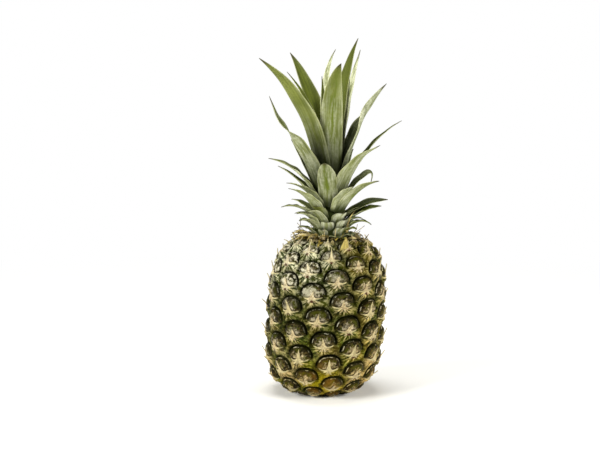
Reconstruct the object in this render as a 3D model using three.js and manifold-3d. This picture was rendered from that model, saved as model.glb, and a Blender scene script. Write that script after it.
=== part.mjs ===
// A whole pineapple with its crown, standing on its trimmed base.
// Millimetres, +Z up, origin at the centre of the flat base, the fruit's best side towards -Y.
import * as THREE from "three";
import { mergeVertices } from "three/addons/utils/BufferGeometryUtils.js";
import Module from "manifold-3d";

const wasm = await Module();
wasm.setup();

// ---- driving dimensions -------------------------------------------------------------------

const DEG = Math.PI / 180;

const FRUIT = {
  radius: 59.4, // over the crowns of the eyes, at the waist
  height: 160,
  waistHeight: 80,
  halfHeight: 81, // the superellipse runs 1 mm past each end, which leaves a flat there
  lowerPower: 3.5,
  upperPower: 3.2,
  lean: 0.055, // sideways shift of the axis, to +X, per mm of height
};

const EYES = {
  divergence: 137.95 * DEG, // turn from one eye to the next
  rise: 1.864, // climb along the side from one eye to the next
  firstAzimuth: -7.9 * DEG,
  firstArc: 124.2, // way along the side from the bottom centre to eye 0
  lowestArc: 20,
  highestArc: 216,
  squeeze: 0.55, // how much the eyes shorten where the fruit narrows
  grooveDepth: 3.5,
  thornReach: 9.2, // up the side, from the middle of the eye
  thornLift: 3.5, // off the side
};

const STALK_SCAR = { radius: 13, depth: 8 };
const CROWN_SEAT = { floor: 157.5, radius: 20.5 };
const CLEARANCE = 0.35;

const STEM = { footRadius: 17, tipRadius: 3.5, height: 86, foot: CROWN_SEAT.floor + 0.35 };
const CROWN_AXIS_X = FRUIT.lean * CROWN_SEAT.floor;

// ---- small helpers ------------------------------------------------------------------------

/** A repeatable random source, 0..1. */
function makeRandom(seed) {
  let state = seed >>> 0;
  return () => {
    state = (state + 0x6d2b79f5) >>> 0;
    let t = state;
    t = Math.imul(t ^ (t >>> 15), t | 1);
    t ^= t + Math.imul(t ^ (t >>> 7), t | 61);
    return ((t ^ (t >>> 14)) >>> 0) / 4294967296;
  };
}

/** Gathers triangles with shared, merged corners. */
class MeshMaker {
  constructor() {
    this.points = [];
    this.triangles = [];
    this.lookup = new Map();
  }

  point(p) {
    const key = `${Math.round(p.x * 5000)},${Math.round(p.y * 5000)},${Math.round(p.z * 5000)}`;
    if (!this.lookup.has(key)) {
      this.lookup.set(key, this.points.length);
      this.points.push(p.clone());
    }
    return this.lookup.get(key);
  }

  triangle(a, b, c) {
    if (a !== b && b !== c && c !== a) this.triangles.push([a, b, c]);
  }

  /** Joins two rings of corners, the outer one with as many or twice as many corners. */
  band(inner, outer) {
    const steps = inner.length;
    const ratio = outer.length / steps;
    for (let i = 0; i < steps; i++) {
      const a = inner[i];
      const b = inner[(i + 1) % steps];
      const o = outer[i * ratio];
      const q = outer[((i + 1) * ratio) % outer.length];
      if (ratio === 1) {
        this.triangle(a, o, q);
        this.triangle(a, q, b);
      } else {
        const m = outer[i * ratio + 1];
        this.triangle(a, o, m);
        this.triangle(a, m, b);
        this.triangle(b, m, q);
      }
    }
  }

  geometry() {
    const geometry = new THREE.BufferGeometry();
    const flat = this.points.flatMap((p) => [p.x, p.y, p.z]);
    geometry.setAttribute("position", new THREE.Float32BufferAttribute(flat, 3));
    geometry.setIndex(this.triangles.flat());
    return geometry;
  }
}

/** Makes a solid for joining and cutting. */
function toSolid(geometry) {
  const bare = geometry.clone();
  for (const name of Object.keys(bare.attributes)) {
    if (name !== "position") bare.deleteAttribute(name);
  }
  const merged = mergeVertices(bare, 1e-4);
  return new wasm.Manifold(
    new wasm.Mesh({
      numProp: 3,
      vertProperties: new Float32Array(merged.attributes.position.array),
      triVerts: new Uint32Array(merged.index.array),
    }),
  );
}

/** Makes a mesh geometry of a solid. */
function toGeometry(solid) {
  const mesh = solid.getMesh();
  const geometry = new THREE.BufferGeometry();
  geometry.setAttribute("position", new THREE.Float32BufferAttribute(mesh.vertProperties, 3));
  geometry.setIndex(Array.from(mesh.triVerts));
  const faceted = geometry.toNonIndexed();
  faceted.computeVertexNormals();
  return faceted;
}

/** The largest connected piece of a solid: loose scraps are dropped. */
function largestPiece(solid) {
  const pieces = solid.decompose();
  pieces.sort((a, b) => b.volume() - a.volume());
  return pieces[0];
}

function cylinderSolid(radius, bottom, top, x, sides) {
  const geometry = new THREE.CylinderGeometry(radius, radius, top - bottom, sides);
  geometry.rotateX(Math.PI / 2);
  geometry.translate(x, 0, (top + bottom) / 2);
  return toSolid(geometry);
}

// ---- the fruit ----------------------------------------------------------------------------

/** Radius of the fruit at a height, over the crowns of the eyes. */
function fruitRadius(z) {
  const power = z < FRUIT.waistHeight ? FRUIT.lowerPower : FRUIT.upperPower;
  const share = Math.abs(z - FRUIT.waistHeight) / FRUIT.halfHeight;
  return FRUIT.radius * Math.max(0, 1 - share ** power) ** (1 / power);
}

/** Walks the fruit's half section from the bottom centre to the top centre. */
function traceProfile() {
  const steps = [];
  const add = (r, z) => {
    const last = steps[steps.length - 1];
    const arc = last ? last.arc + Math.hypot(r - last.r, z - last.z) : 0;
    steps.push({ r, z, arc });
  };
  const footRadius = fruitRadius(0);
  for (let i = 0; i < 40; i++) add((footRadius * i) / 40, 0);
  for (let i = 0; i <= 1600; i++) {
    const z = FRUIT.height * (0.5 - 0.5 * Math.cos((Math.PI * i) / 1600));
    add(fruitRadius(z), z);
  }
  const topRadius = fruitRadius(FRUIT.height);
  for (let i = 39; i >= 0; i--) add((topRadius * i) / 40, FRUIT.height);
  // The eye count along the side, with 0 at eye 0.
  let count = 0;
  steps[0].count = 0;
  for (let i = 1; i < steps.length; i++) {
    const width = Math.max(0.12, (steps[i].r + steps[i - 1].r) / 2 / FRUIT.radius);
    count += (steps[i].arc - steps[i - 1].arc) / (EYES.rise * width ** EYES.squeeze);
    steps[i].count = count;
  }
  const zero = steps.find((step) => step.arc >= EYES.firstArc).count;
  for (const step of steps) step.count -= zero;
  return steps;
}

const profile = traceProfile();

function profileAt(key, value) {
  let low = 0;
  let high = profile.length - 1;
  const v = Math.min(Math.max(value, profile[0][key]), profile[high][key]);
  while (high - low > 1) {
    const middle = (low + high) >> 1;
    if (profile[middle][key] <= v) low = middle;
    else high = middle;
  }
  const a = profile[low];
  const b = profile[high];
  const t = b[key] > a[key] ? (v - a[key]) / (b[key] - a[key]) : 0;
  const run = Math.hypot(b.r - a.r, b.z - a.z) || 1;
  return {
    r: a.r + (b.r - a.r) * t,
    z: a.z + (b.z - a.z) * t,
    arc: a.arc + (b.arc - a.arc) * t,
    outR: (b.z - a.z) / run,
    outZ: -(b.r - a.r) / run,
  };
}

/** A point on the fruit: eye count along the side, azimuth, and height off the surface. */
function fruitPoint(count, azimuth, lift) {
  const p = profileAt("count", count);
  const r = Math.max(0, p.r + p.outR * lift);
  const z = p.z + p.outZ * lift;
  return new THREE.Vector3(r * Math.sin(azimuth) + FRUIT.lean * z, -r * Math.cos(azimuth), z);
}

/** The middle of the circle through the origin and two points. */
function circumcentre(p, q) {
  const d = 2 * (p.x * q.y - p.y * q.x);
  const pp = p.lengthSq();
  const qq = q.lengthSq();
  return new THREE.Vector2((q.y * pp - p.y * qq) / d, (p.x * qq - q.x * pp) / d);
}

/** The six-sided outline that every eye fills, unrolled at the waist: x around, y up. */
function eyeOutline() {
  const toNeighbour = (steps) => {
    let turn = (EYES.divergence * steps) % (2 * Math.PI);
    if (turn > Math.PI) turn -= 2 * Math.PI;
    return new THREE.Vector2(turn * FRUIT.radius, steps * EYES.rise);
  };
  const left = toNeighbour(5);
  const right = toNeighbour(8);
  const up = toNeighbour(13);
  const upperLeft = circumcentre(left, up);
  const upperRight = circumcentre(up, right);
  const farRight = upperLeft.clone().sub(left);
  const corners = [
    farRight,
    upperRight,
    upperLeft,
    farRight.clone().negate(),
    upperRight.clone().negate(),
    upperLeft.clone().negate(),
  ];
  return corners.flatMap((corner, i) => {
    const next = corners[(i + 1) % 6];
    return [corner, corner.clone().add(next).multiplyScalar(0.5)];
  });
}

function makeFruit() {
  const random = makeRandom(41);
  const outline = eyeOutline();
  const maker = new MeshMaker();
  const lowest = Math.ceil(profile.find((step) => step.arc >= EYES.lowestArc).count);
  const highest = Math.floor(profile.find((step) => step.arc >= EYES.highestArc).count);
  for (let n = lowest; n <= highest; n++) {
    const azimuth = EYES.firstAzimuth + EYES.divergence * n;
    const here = profileAt("count", n);
    // Eyes under the base lie flat, with no thorn to speak of.
    const stand = THREE.MathUtils.smoothstep(here.arc, 34, 60);
    const plump = 0.75 + 0.5 * random();
    const sway = (random() - 0.5) * 3.2;
    const reach = (0.8 + 0.4 * random()) * EYES.thornReach;
    const scale = Math.min(1, here.r / FRUIT.radius + 0.25);
    const at = (x, y, lift) =>
      maker.point(fruitPoint(n + y / EYES.rise, azimuth + x / FRUIT.radius, lift));
    const rim = outline.map((p, i) => at(p.x, p.y, -EYES.grooveDepth * (i % 2 ? 0.88 : 1)));
    const shoulder = outline.map((p) =>
      at(p.x * 0.8, p.y * 0.8, p.y > 0 ? -1.1 * plump : -0.55),
    );
    const crest = [0, 2, 4, 6, 8, 10].map((i) => {
      const p = outline[i];
      return at(p.x * 0.5, p.y * 0.46, p.y > 3 ? -0.1 * plump : 0.55 * stand);
    });
    const base = [
      at(3.4, -0.6, 1.5 * stand * scale),
      at(0, 2.6, 0.4),
      at(-3.4, -0.6, 1.5 * stand * scale),
      at(0, -4.6, 1.3 * stand * scale),
    ];
    const apex = at(sway, reach * stand, 0.5 + EYES.thornLift * stand * scale);
    for (let i = 0; i < 4; i++) maker.triangle(apex, base[i], base[(i + 1) % 4]);
    maker.triangle(base[0], crest[0], crest[1]);
    maker.triangle(base[0], crest[1], base[1]);
    maker.triangle(base[1], crest[1], crest[2]);
    maker.triangle(base[1], crest[2], base[2]);
    maker.triangle(base[2], crest[2], crest[3]);
    maker.triangle(base[2], crest[3], crest[4]);
    maker.triangle(base[2], crest[4], base[3]);
    maker.triangle(base[3], crest[4], crest[5]);
    maker.triangle(base[3], crest[5], base[0]);
    maker.triangle(base[0], crest[5], crest[0]);
    maker.band(crest, shoulder);
    maker.band(shoulder, rim);
  }
  closeEnds(maker);
  let solid = toSolid(maker.geometry());
  const room = new THREE.BoxGeometry(400, 400, 400);
  room.translate(0, 0, 200);
  solid = solid.intersect(toSolid(room));
  solid = solid.add(cylinderSolid(STALK_SCAR.radius, 0, STALK_SCAR.depth, 0, 32));
  solid = solid.subtract(
    cylinderSolid(CROWN_SEAT.radius, CROWN_SEAT.floor, FRUIT.height + 40, CROWN_AXIS_X, 36),
  );
  return largestPiece(solid);
}

/** Closes the open zigzag at the bottom and at the top with a fan of triangles each. */
function closeEnds(maker) {
  const open = new Map();
  const used = new Set(maker.triangles.flatMap(([a, b, c]) => [`${a},${b}`, `${b},${c}`, `${c},${a}`]));
  for (const edge of used) {
    const [a, b] = edge.split(",").map(Number);
    if (!used.has(`${b},${a}`)) open.set(b, a);
  }
  while (open.size) {
    const loop = [open.keys().next().value];
    while (open.has(loop[loop.length - 1])) {
      const last = loop[loop.length - 1];
      loop.push(open.get(last));
      open.delete(last);
    }
    loop.pop();
    const heights = loop.map((i) => maker.points[i].z);
    const z = heights.reduce((sum, value) => sum + value, 0) / heights.length;
    const middle = maker.point(new THREE.Vector3(FRUIT.lean * z, 0, z));
    loop.forEach((corner, i) => {
      maker.triangle(middle, corner, loop[(i + 1) % loop.length]);
    });
  }
}

// ---- the crown ----------------------------------------------------------------------------

function stemRadius(height) {
  const share = Math.min(Math.max(height / STEM.height, 0), 1);
  return STEM.footRadius + (STEM.tipRadius - STEM.footRadius) * share ** 0.9;
}

function makeStemCore(grow) {
  const outline = [new THREE.Vector2(0, -grow)];
  for (let i = 0; i <= 5; i++) {
    const height = (STEM.height * i) / 5;
    outline.push(new THREE.Vector2(stemRadius(height) + grow, i ? height : -grow));
  }
  outline.push(new THREE.Vector2(0, STEM.height + grow));
  const geometry = new THREE.LatheGeometry(outline, 18);
  geometry.rotateX(Math.PI / 2);
  geometry.translate(CROWN_AXIS_X, 0, STEM.foot);
  return toSolid(geometry);
}

/** Share of its full width that a long leaf has along its length. */
function longLeafWidth(t, fullness) {
  if (t < 0.3) return 0.88 + 0.12 * Math.sin((t / 0.3) * (Math.PI / 2));
  return 1 - ((t - 0.3) / 0.7) ** fullness;
}

/** Share of its full width that a short scale leaf has along its length. */
function shortLeafWidth(t) {
  return (1 - t ** 2.3) ** 0.85;
}

/**
 * A leaf blade: a trough-shaped strap that starts on the stem and bends outwards.
 * grow thickens it all round, for cutting clearance in its neighbours.
 */
function makeBlade(leaf, grow = 0) {
  const stations = leaf.short ? [0, 0.3, 0.6, 0.84, 1] : [0, 0.12, 0.26, 0.42, 0.58, 0.74, 0.88, 1];
  const across = leaf.short ? [-1, 0, 1] : [-1, -0.4, 0.4, 1];
  const fullness = leaf.fullness ?? 1.5;
  const cup = (leaf.cup ?? 48) * DEG;
  const turn = (leaf.turn ?? 0) * DEG;
  const side = (leaf.side ?? 0) * DEG;
  const ease = leaf.ease ?? 1.4;
  const midrib = leaf.short ? 1.5 : 2.0;
  const azimuth = leaf.azimuth * DEG;
  const seatRadius = stemRadius(leaf.seat) + (leaf.short ? -1.2 : CLEARANCE + midrib / 2);
  const place = new THREE.Vector3(
    CROWN_AXIS_X + seatRadius * Math.sin(azimuth),
    -seatRadius * Math.cos(azimuth),
    STEM.foot + leaf.seat,
  );
  const maker = new MeshMaker();
  const rings = [];
  const fineSteps = 60;
  let fine = 0;
  for (const t of stations) {
    for (; fine < Math.round(t * fineSteps); fine++) {
      const { along } = bladeAxes(leaf, (fine + 0.5) / fineSteps, azimuth, side, turn, ease);
      place.addScaledVector(along, leaf.length / fineSteps);
    }
    const { along, sideways, outward } = bladeAxes(leaf, t, azimuth, side, turn, ease);
    const share = leaf.short ? shortLeafWidth(t) : longLeafWidth(t, fullness);
    const width = Math.max(leaf.width * share, 1.0) + 2 * grow;
    const curl = cup * (1 - 0.55 * t);
    const bend = width / 2 / curl;
    const middle = place.clone();
    if (grow && t === 0) middle.addScaledVector(along, -grow);
    if (grow && t === 1) middle.addScaledVector(along, grow);
    const outer = [];
    const inner = [];
    for (const y of across) {
      const angle = y * curl;
      const edge = Math.abs(y) === 1;
      const thickness = (edge ? 0.75 : midrib + (0.9 - midrib) * t) / 2 + grow;
      const normal = outward
        .clone()
        .multiplyScalar(Math.cos(angle))
        .addScaledVector(sideways, Math.sin(angle));
      const centre = middle
        .clone()
        .addScaledVector(sideways, bend * Math.sin(angle))
        .addScaledVector(outward, -bend * (1 - Math.cos(angle)));
      outer.push(maker.point(centre.clone().addScaledVector(normal, thickness)));
      inner.push(maker.point(centre.clone().addScaledVector(normal, -thickness)));
    }
    rings.push({ outer, inner });
  }
  for (let i = 0; i < rings.length - 1; i++) {
    const a = rings[i];
    const b = rings[i + 1];
    for (let j = 0; j < across.length - 1; j++) {
      // The same split on both faces keeps the blade's thickness.
      const split = j * 2 < across.length - 1;
      if (split) {
        maker.triangle(a.outer[j], a.outer[j + 1], b.outer[j + 1]);
        maker.triangle(a.outer[j], b.outer[j + 1], b.outer[j]);
        maker.triangle(a.inner[j], b.inner[j + 1], a.inner[j + 1]);
        maker.triangle(a.inner[j], b.inner[j], b.inner[j + 1]);
      } else {
        maker.triangle(a.outer[j], a.outer[j + 1], b.outer[j]);
        maker.triangle(a.outer[j + 1], b.outer[j + 1], b.outer[j]);
        maker.triangle(a.inner[j], b.inner[j], a.inner[j + 1]);
        maker.triangle(a.inner[j + 1], b.inner[j], b.inner[j + 1]);
      }
    }
    const last = across.length - 1;
    maker.triangle(a.outer[last], a.inner[last], b.inner[last]);
    maker.triangle(a.outer[last], b.inner[last], b.outer[last]);
    maker.triangle(a.outer[0], b.inner[0], a.inner[0]);
    maker.triangle(a.outer[0], b.outer[0], b.inner[0]);
  }
  closeBladeEnd(maker, rings[0], false);
  closeBladeEnd(maker, rings[rings.length - 1], true);
  return toSolid(maker.geometry());
}

function closeBladeEnd(maker, ring, isTip) {
  for (let j = 0; j < ring.outer.length - 1; j++) {
    const [a, b] = [ring.outer[j], ring.outer[j + 1]];
    const [c, d] = [ring.inner[j], ring.inner[j + 1]];
    if (isTip) {
      maker.triangle(a, b, d);
      maker.triangle(a, d, c);
    } else {
      maker.triangle(a, d, b);
      maker.triangle(a, c, d);
    }
  }
}

/** Directions of a blade at a share t of its length. */
function bladeAxes(leaf, t, azimuth, side, turn, ease) {
  const [hookStart, hookAngle] = leaf.hook ?? [1, 0];
  const hook = hookAngle * THREE.MathUtils.smoothstep(t, hookStart, hookStart + 0.14);
  const lean = (leaf.lean[0] + (leaf.lean[1] - leaf.lean[0]) * t ** ease + hook) * DEG;
  const heading = azimuth + side * t * t;
  const along = new THREE.Vector3(
    Math.sin(lean) * Math.sin(heading),
    -Math.sin(lean) * Math.cos(heading),
    Math.cos(lean),
  );
  const sideways = new THREE.Vector3(Math.cos(heading), Math.sin(heading), 0);
  const outward = new THREE.Vector3().crossVectors(sideways, along);
  const roll = turn * t ** 0.7;
  sideways.applyAxisAngle(along, roll);
  outward.applyAxisAngle(along, roll);
  return { along, sideways, outward };
}

// The long and middle leaves, from the heart of the crown outwards. azimuth: 0 faces -Y, 90 faces
// +X. seat: height on the stem. lean: angle from upright at the foot and at the tip.
const LEAVES = [
  { azimuth: -40, seat: 78, length: 87, width: 11, lean: [4, 5] },
  { azimuth: -165, seat: 68, length: 137, width: 13, lean: [7, 46], side: -52, ease: 1.2 },
  { azimuth: 152, seat: 62, length: 150, width: 19, lean: [6, 38], side: -8, fullness: 1.9 },
  { azimuth: -120, seat: 64, length: 115, width: 14, lean: [5, 47] },
  { azimuth: 134, seat: 58, length: 137, width: 14, lean: [8, 23], ease: 1.2 },
  { azimuth: -148, seat: 56, length: 152, width: 23, lean: [4, 52], ease: 1.0, fullness: 2.3 },
  { azimuth: 6, seat: 50, length: 147, width: 26, lean: [2, 70], ease: 2.4, fullness: 2.2, side: 8 },
  { azimuth: 100, seat: 49, length: 119, width: 24, lean: [14, 42], ease: 1.8, turn: 26 },
  { azimuth: -56, seat: 47, length: 161, width: 28, lean: [2, 57], turn: 20, ease: 1.1, fullness: 1.8 },
  { azimuth: 166, seat: 42, length: 100, width: 19, lean: [12, 40] },
  { azimuth: 108, seat: 41, length: 104, width: 13, lean: [26, 65], ease: 1.6 },
  { azimuth: -119, seat: 40, length: 68, width: 14, lean: [27, 34] },
  {
    azimuth: -52, seat: 39, length: 127, width: 24, lean: [13, 58], turn: 14, ease: 0.9,
    hook: [0.74, -32], fullness: 1.25,
  },
  { azimuth: -169, seat: 37, length: 96, width: 20, lean: [16, 50] },
  { azimuth: 51, seat: 36, length: 84, width: 28, lean: [17, 76], ease: 1.5, hook: [0.86, -14] },
  { azimuth: -80, seat: 36, length: 72, width: 20, lean: [24, 81] },
  { azimuth: 150, seat: 34, length: 66, width: 18, lean: [20, 56] },
  { azimuth: -3, seat: 33, length: 57.5, width: 21.5, lean: [16, 60], ease: 1.8, fullness: 3.0 },
  { azimuth: -148, seat: 32, length: 60, width: 17, lean: [26, 66] },
  { azimuth: 104, seat: 34, length: 66, width: 18, lean: [23, 84], hook: [0.62, 116], ease: 1.2 },
  { azimuth: -102, seat: 31, length: 60, width: 17, lean: [26, 66], ease: 1.1 },
  { azimuth: -58, seat: 31, length: 50, width: 20, lean: [26, 84], ease: 1.1 },
  { azimuth: 34, seat: 28, length: 42, width: 18, lean: [24, 74] },
  { azimuth: 170, seat: 29, length: 62, width: 18, lean: [30, 72] },
  { azimuth: 59, seat: 26, length: 60, width: 22, lean: [28, 80], ease: 1.1 },
  { azimuth: -20, seat: 25, length: 34, width: 18, lean: [24, 84], ease: 1.6 },
  { azimuth: -46, seat: 23, length: 56, width: 20, lean: [29, 80], ease: 1.1 },
  { azimuth: -157, seat: 24, length: 52, width: 17, lean: [34, 80] },
  { azimuth: 95, seat: 20, length: 50, width: 17, lean: [49, 92], ease: 1.3 },
  { azimuth: 14, seat: 20, length: 30, width: 18, lean: [24, 86], ease: 1.6 },
  { azimuth: -73, seat: 19, length: 42, width: 18, lean: [40, 106], ease: 1.3 },
  { azimuth: 150, seat: 20, length: 46, width: 17, lean: [40, 88] },
  { azimuth: -124, seat: 18, length: 39, width: 16, lean: [40, 90] },
  { azimuth: 80, seat: 15, length: 43, width: 17, lean: [46, 86], ease: 1.3 },
  { azimuth: -31, seat: 15, length: 28, width: 17, lean: [26, 90], ease: 1.5 },
  { azimuth: 76, seat: 8.5, length: 31, width: 14, lean: [42, 134], ease: 1.6 },
];

// The short scale leaves round the foot of the crown follow one spiral.
const SCALES = { count: 22, azimuth: -27 - 7 * 137.5, divergence: 137.5, foot: 0.4, rise: 0.76 };

function makeScaleList() {
  const random = makeRandom(7);
  const list = [];
  for (let k = 0; k < SCALES.count; k++) {
    const share = k / SCALES.count;
    list.push({
      short: true,
      azimuth: SCALES.azimuth + SCALES.divergence * k + (random() - 0.5) * 6,
      seat: SCALES.foot + SCALES.rise * k,
      length: 9 + 20 * Math.sqrt(share) + 4 * random(),
      width: 14.5 + 2 * share,
      lean: [40 - 14 * share, 104 + 16 * random()],
      cup: 44,
      ease: 1.5,
    });
  }
  return list;
}

function makeCrown() {
  const core = makeStemCore(0);
  const coreClear = makeStemCore(CLEARANCE);
  const placed = [];
  const cut = (leaf) => {
    let solid = makeBlade(leaf).subtract(coreClear);
    const whole = solid.volume();
    for (const other of placed) {
      solid = solid.subtract(other.clear);
    }
    solid = largestPiece(solid);
    return { solid, kept: solid.volume() / whole };
  };
  const leaves = LEAVES.map((leaf) => {
    const { solid, kept } = cut(leaf);
    placed.push({ clear: makeBlade(leaf, CLEARANCE) });
    return { solid, kept };
  });
  let stem = core;
  const scales = makeScaleList().reverse();
  for (const scale of scales) {
    let solid = makeBlade(scale);
    for (const other of placed) solid = solid.subtract(other.clear);
    stem = stem.add(solid);
  }
  return { stem: largestPiece(stem), leaves };
}

// ---- the object ---------------------------------------------------------------------------

const materials = {
  rind: { color: 0x7a7340, roughness: 0.6, metalness: 0 },
  stem: { color: 0x8f9a68, roughness: 0.55, metalness: 0 },
  leaf: { color: 0x7d8a52, roughness: 0.5, metalness: 0 },
};

function makeMesh(name, solid, look) {
  const mesh = new THREE.Mesh(toGeometry(solid), new THREE.MeshStandardMaterial(look));
  mesh.name = name;
  return mesh;
}

const pineapple = new THREE.Group();
pineapple.name = "pineapple";
pineapple.add(makeMesh("fruit", makeFruit(), materials.rind));
const crown = makeCrown();
pineapple.add(makeMesh("crown_stem", crown.stem, materials.stem));
crown.leaves.forEach(({ solid }, i) => {
  const name = `leaf_${String(i + 1).padStart(2, "0")}`;
  pineapple.add(makeMesh(name, solid, materials.leaf));
});
pineapple.userData.kept = crown.leaves.map(({ kept }) => kept);

export default pineapple;
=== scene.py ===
"""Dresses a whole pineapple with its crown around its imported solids.

The rind is a field of eyes on a spiral lattice, each eye with a dark dome and a spined bract over
it. The crown is a tapering stem with scale leaves at its foot and long trough-shaped leaves above.
Forms are worked out in millimetres and written to the meshes in metres.
"""

import logging
import math
from collections.abc import Callable, Sequence
from dataclasses import dataclass, replace
from enum import Enum
from functools import cached_property

import bpy
import numpy as np
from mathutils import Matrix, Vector, noise

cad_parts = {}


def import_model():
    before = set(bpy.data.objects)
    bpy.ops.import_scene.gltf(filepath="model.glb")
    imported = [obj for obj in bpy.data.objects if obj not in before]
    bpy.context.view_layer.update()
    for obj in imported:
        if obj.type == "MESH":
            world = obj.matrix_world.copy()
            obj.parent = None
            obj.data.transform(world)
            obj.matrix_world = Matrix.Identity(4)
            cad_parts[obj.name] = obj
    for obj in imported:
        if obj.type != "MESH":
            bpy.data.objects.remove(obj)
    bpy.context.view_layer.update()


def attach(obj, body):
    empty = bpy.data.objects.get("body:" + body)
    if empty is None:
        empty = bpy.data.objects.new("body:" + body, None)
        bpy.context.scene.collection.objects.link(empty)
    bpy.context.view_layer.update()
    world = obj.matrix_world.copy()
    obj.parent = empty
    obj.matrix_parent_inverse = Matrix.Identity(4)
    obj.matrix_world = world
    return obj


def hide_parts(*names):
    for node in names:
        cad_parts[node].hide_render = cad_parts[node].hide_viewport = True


MM = 0.001
BODY = "root"
LEAF_SPAN = 200.0  # millimetres of a leaf that its UV map spans
FLAT_SPAN = 40.0  # millimetres of an eye's flat map that its UV map spans
SPIRALS = (5, 8, 13)  # steps from an eye to its neighbours up left, up right and above
LEAF_SEED, SCALE_SEED, STRIP_SEED = 100, 300, 500  # where the draws of single blades start
WORD = 0xFFFFFFFF  # the random source counts in 32 bits
WORD_STEP = 0x6D2B79F5
Array = np.ndarray
Piece = bpy.types.Object
Mesh = bpy.types.Mesh
Material = bpy.types.Material
Node = bpy.types.Node
Colour = tuple[float, float, float]
Pair = tuple[float, float]  # where a change starts and ends, and other pairs of numbers
WHITE: Colour = (1.0, 1.0, 1.0)

log = logging.getLogger("pineapple")


# ---- small helpers ----


def smoothstep(value: Array | float, low: float, high: float) -> Array:
    """Smooth rise from 0 to 1.

    Args:
        value: What is tested.
        low: Where the rise starts.
        high: Where it ends.

    Returns:
        The share risen, 0 to 1.
    """
    t = np.clip((np.asarray(value, float) - low) / (high - low), 0.0, 1.0)
    return t * t * (3 - 2 * t)


def bump(value: Array, middle: float, spread: float) -> Array:
    """A bell of height 1.

    Args:
        value: What is tested.
        middle: Where the bell stands.
        spread: Its half width.

    Returns:
        The bell's height at each value.
    """
    return np.exp(-(((value - middle) / spread) ** 2))


def draw_from(seed: int) -> Callable[[], float]:
    """A repeatable random source, the same one that the solids use.

    Args:
        seed: Where the source starts.

    Returns:
        A function that gives the next number, 0 to 1.
    """
    state = seed & WORD

    def draw() -> float:
        """The next number, 0 to 1.

        Returns:
            A number from 0 to 1.
        """
        nonlocal state
        state = (state + WORD_STEP) & WORD
        t = ((state ^ (state >> 15)) * (state | 1)) & WORD
        t ^= (t + (((t ^ (t >> 7)) * (t | 61)) & WORD)) & WORD
        return ((t ^ (t >> 14)) & WORD) / (WORD + 1)

    return draw


def roughen(points: Array, size: float, shift: float = 0.0) -> Array:
    """Smooth noise at points in space.

    Args:
        points: Places, in millimetres.
        size: Size of the noise's lumps, in millimetres.
        shift: Moves the noise, for another draw of it.

    Returns:
        Values from about -1 to 1.
    """
    return np.array([noise.noise(Vector(p / size) + Vector((shift, shift, shift))) for p in points])


def deselect_everything() -> None:
    """Leaves nothing selected, because loading the frame leaves its nodes selected."""
    bpy.ops.object.select_all(action="DESELECT")


def pick(pieces: Sequence[Piece]) -> None:
    """Selects these pieces alone, the first one active.

    Args:
        pieces: What is selected.
    """
    deselect_everything()
    for piece in pieces:
        piece.select_set(True)
    bpy.context.view_layer.objects.active = pieces[0]


def edit(piece: Piece) -> None:
    """Opens a piece in edit mode with all of it selected.

    Args:
        piece: The piece.
    """
    pick([piece])
    bpy.ops.object.mode_set(mode="EDIT")
    bpy.ops.mesh.select_all(action="SELECT")


def close_edit() -> None:
    """Goes back to object mode."""
    bpy.ops.object.mode_set(mode="OBJECT")


def corners_of(mesh: Mesh) -> Array:
    """A mesh's vertex places, one row each.

    Args:
        mesh: The mesh.

    Returns:
        The places, one row each.
    """
    flat = np.zeros(len(mesh.vertices) * 3, np.float64)
    mesh.vertices.foreach_get("co", flat)
    return flat.reshape(-1, 3)


def move_corners(mesh: Mesh, points: Array) -> None:
    """Puts a mesh's vertices at new places."""
    mesh.vertices.foreach_set("co", np.ascontiguousarray(points, np.float32).ravel())
    mesh.update()


def paint(mesh: Mesh, name: str, values: Array) -> None:
    """Writes a colour attribute on the vertices.

    Args:
        mesh: The mesh.
        name: The attribute's name.
        values: One row of up to four numbers for each vertex.
    """
    rows = np.zeros((len(mesh.vertices), 4), np.float32)
    rows[:, : values.shape[1]] = values
    layer = mesh.color_attributes.new(name, "FLOAT_COLOR", "POINT")
    layer.data.foreach_set("color", rows.ravel())


def write_uv(mesh: Mesh, name: str, values: Array) -> None:
    """Writes a UV map from a pair of numbers for each vertex.

    Args:
        mesh: The mesh.
        name: The map's name.
        values: One pair for each vertex.
    """
    layer = mesh.uv_layers.get(name) or mesh.uv_layers.new(name=name)
    vertex_of = np.zeros(len(mesh.loops), np.int32)
    mesh.loops.foreach_get("vertex_index", vertex_of)
    layer.data.foreach_set("uv", values[vertex_of].astype(np.float32).ravel())


def write_same(mesh: Mesh, name: str, first: float, second: float) -> None:
    """Writes a UV map that gives every vertex the same pair of numbers."""
    write_uv(mesh, name, np.full((len(mesh.vertices), 2), [first, second]))


def face_outwards() -> None:
    """Turns every face of the piece in edit mode outwards."""
    bpy.ops.mesh.select_all(action="SELECT")
    bpy.ops.mesh.normals_make_consistent(inside=False)


def new_sheet(columns: int, rows: int, materials: Sequence[Material]) -> Piece:
    """Adds a flat grid, from -1 to 1 both ways.

    Args:
        columns: Cells across.
        rows: Cells along.
        materials: The finishes of its faces.

    Returns:
        The grid.
    """
    deselect_everything()
    bpy.ops.mesh.primitive_grid_add(x_subdivisions=columns, y_subdivisions=rows, size=2.0, calc_uvs=False)
    sheet = bpy.context.object
    for material in materials:
        sheet.data.materials.append(material)
    return sheet


def apply_modifiers(piece: Piece) -> None:
    """Applies every modifier of a piece, in order."""
    pick([piece])
    for modifier in list(piece.modifiers):
        bpy.ops.object.modifier_apply(modifier=modifier.name)


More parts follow.
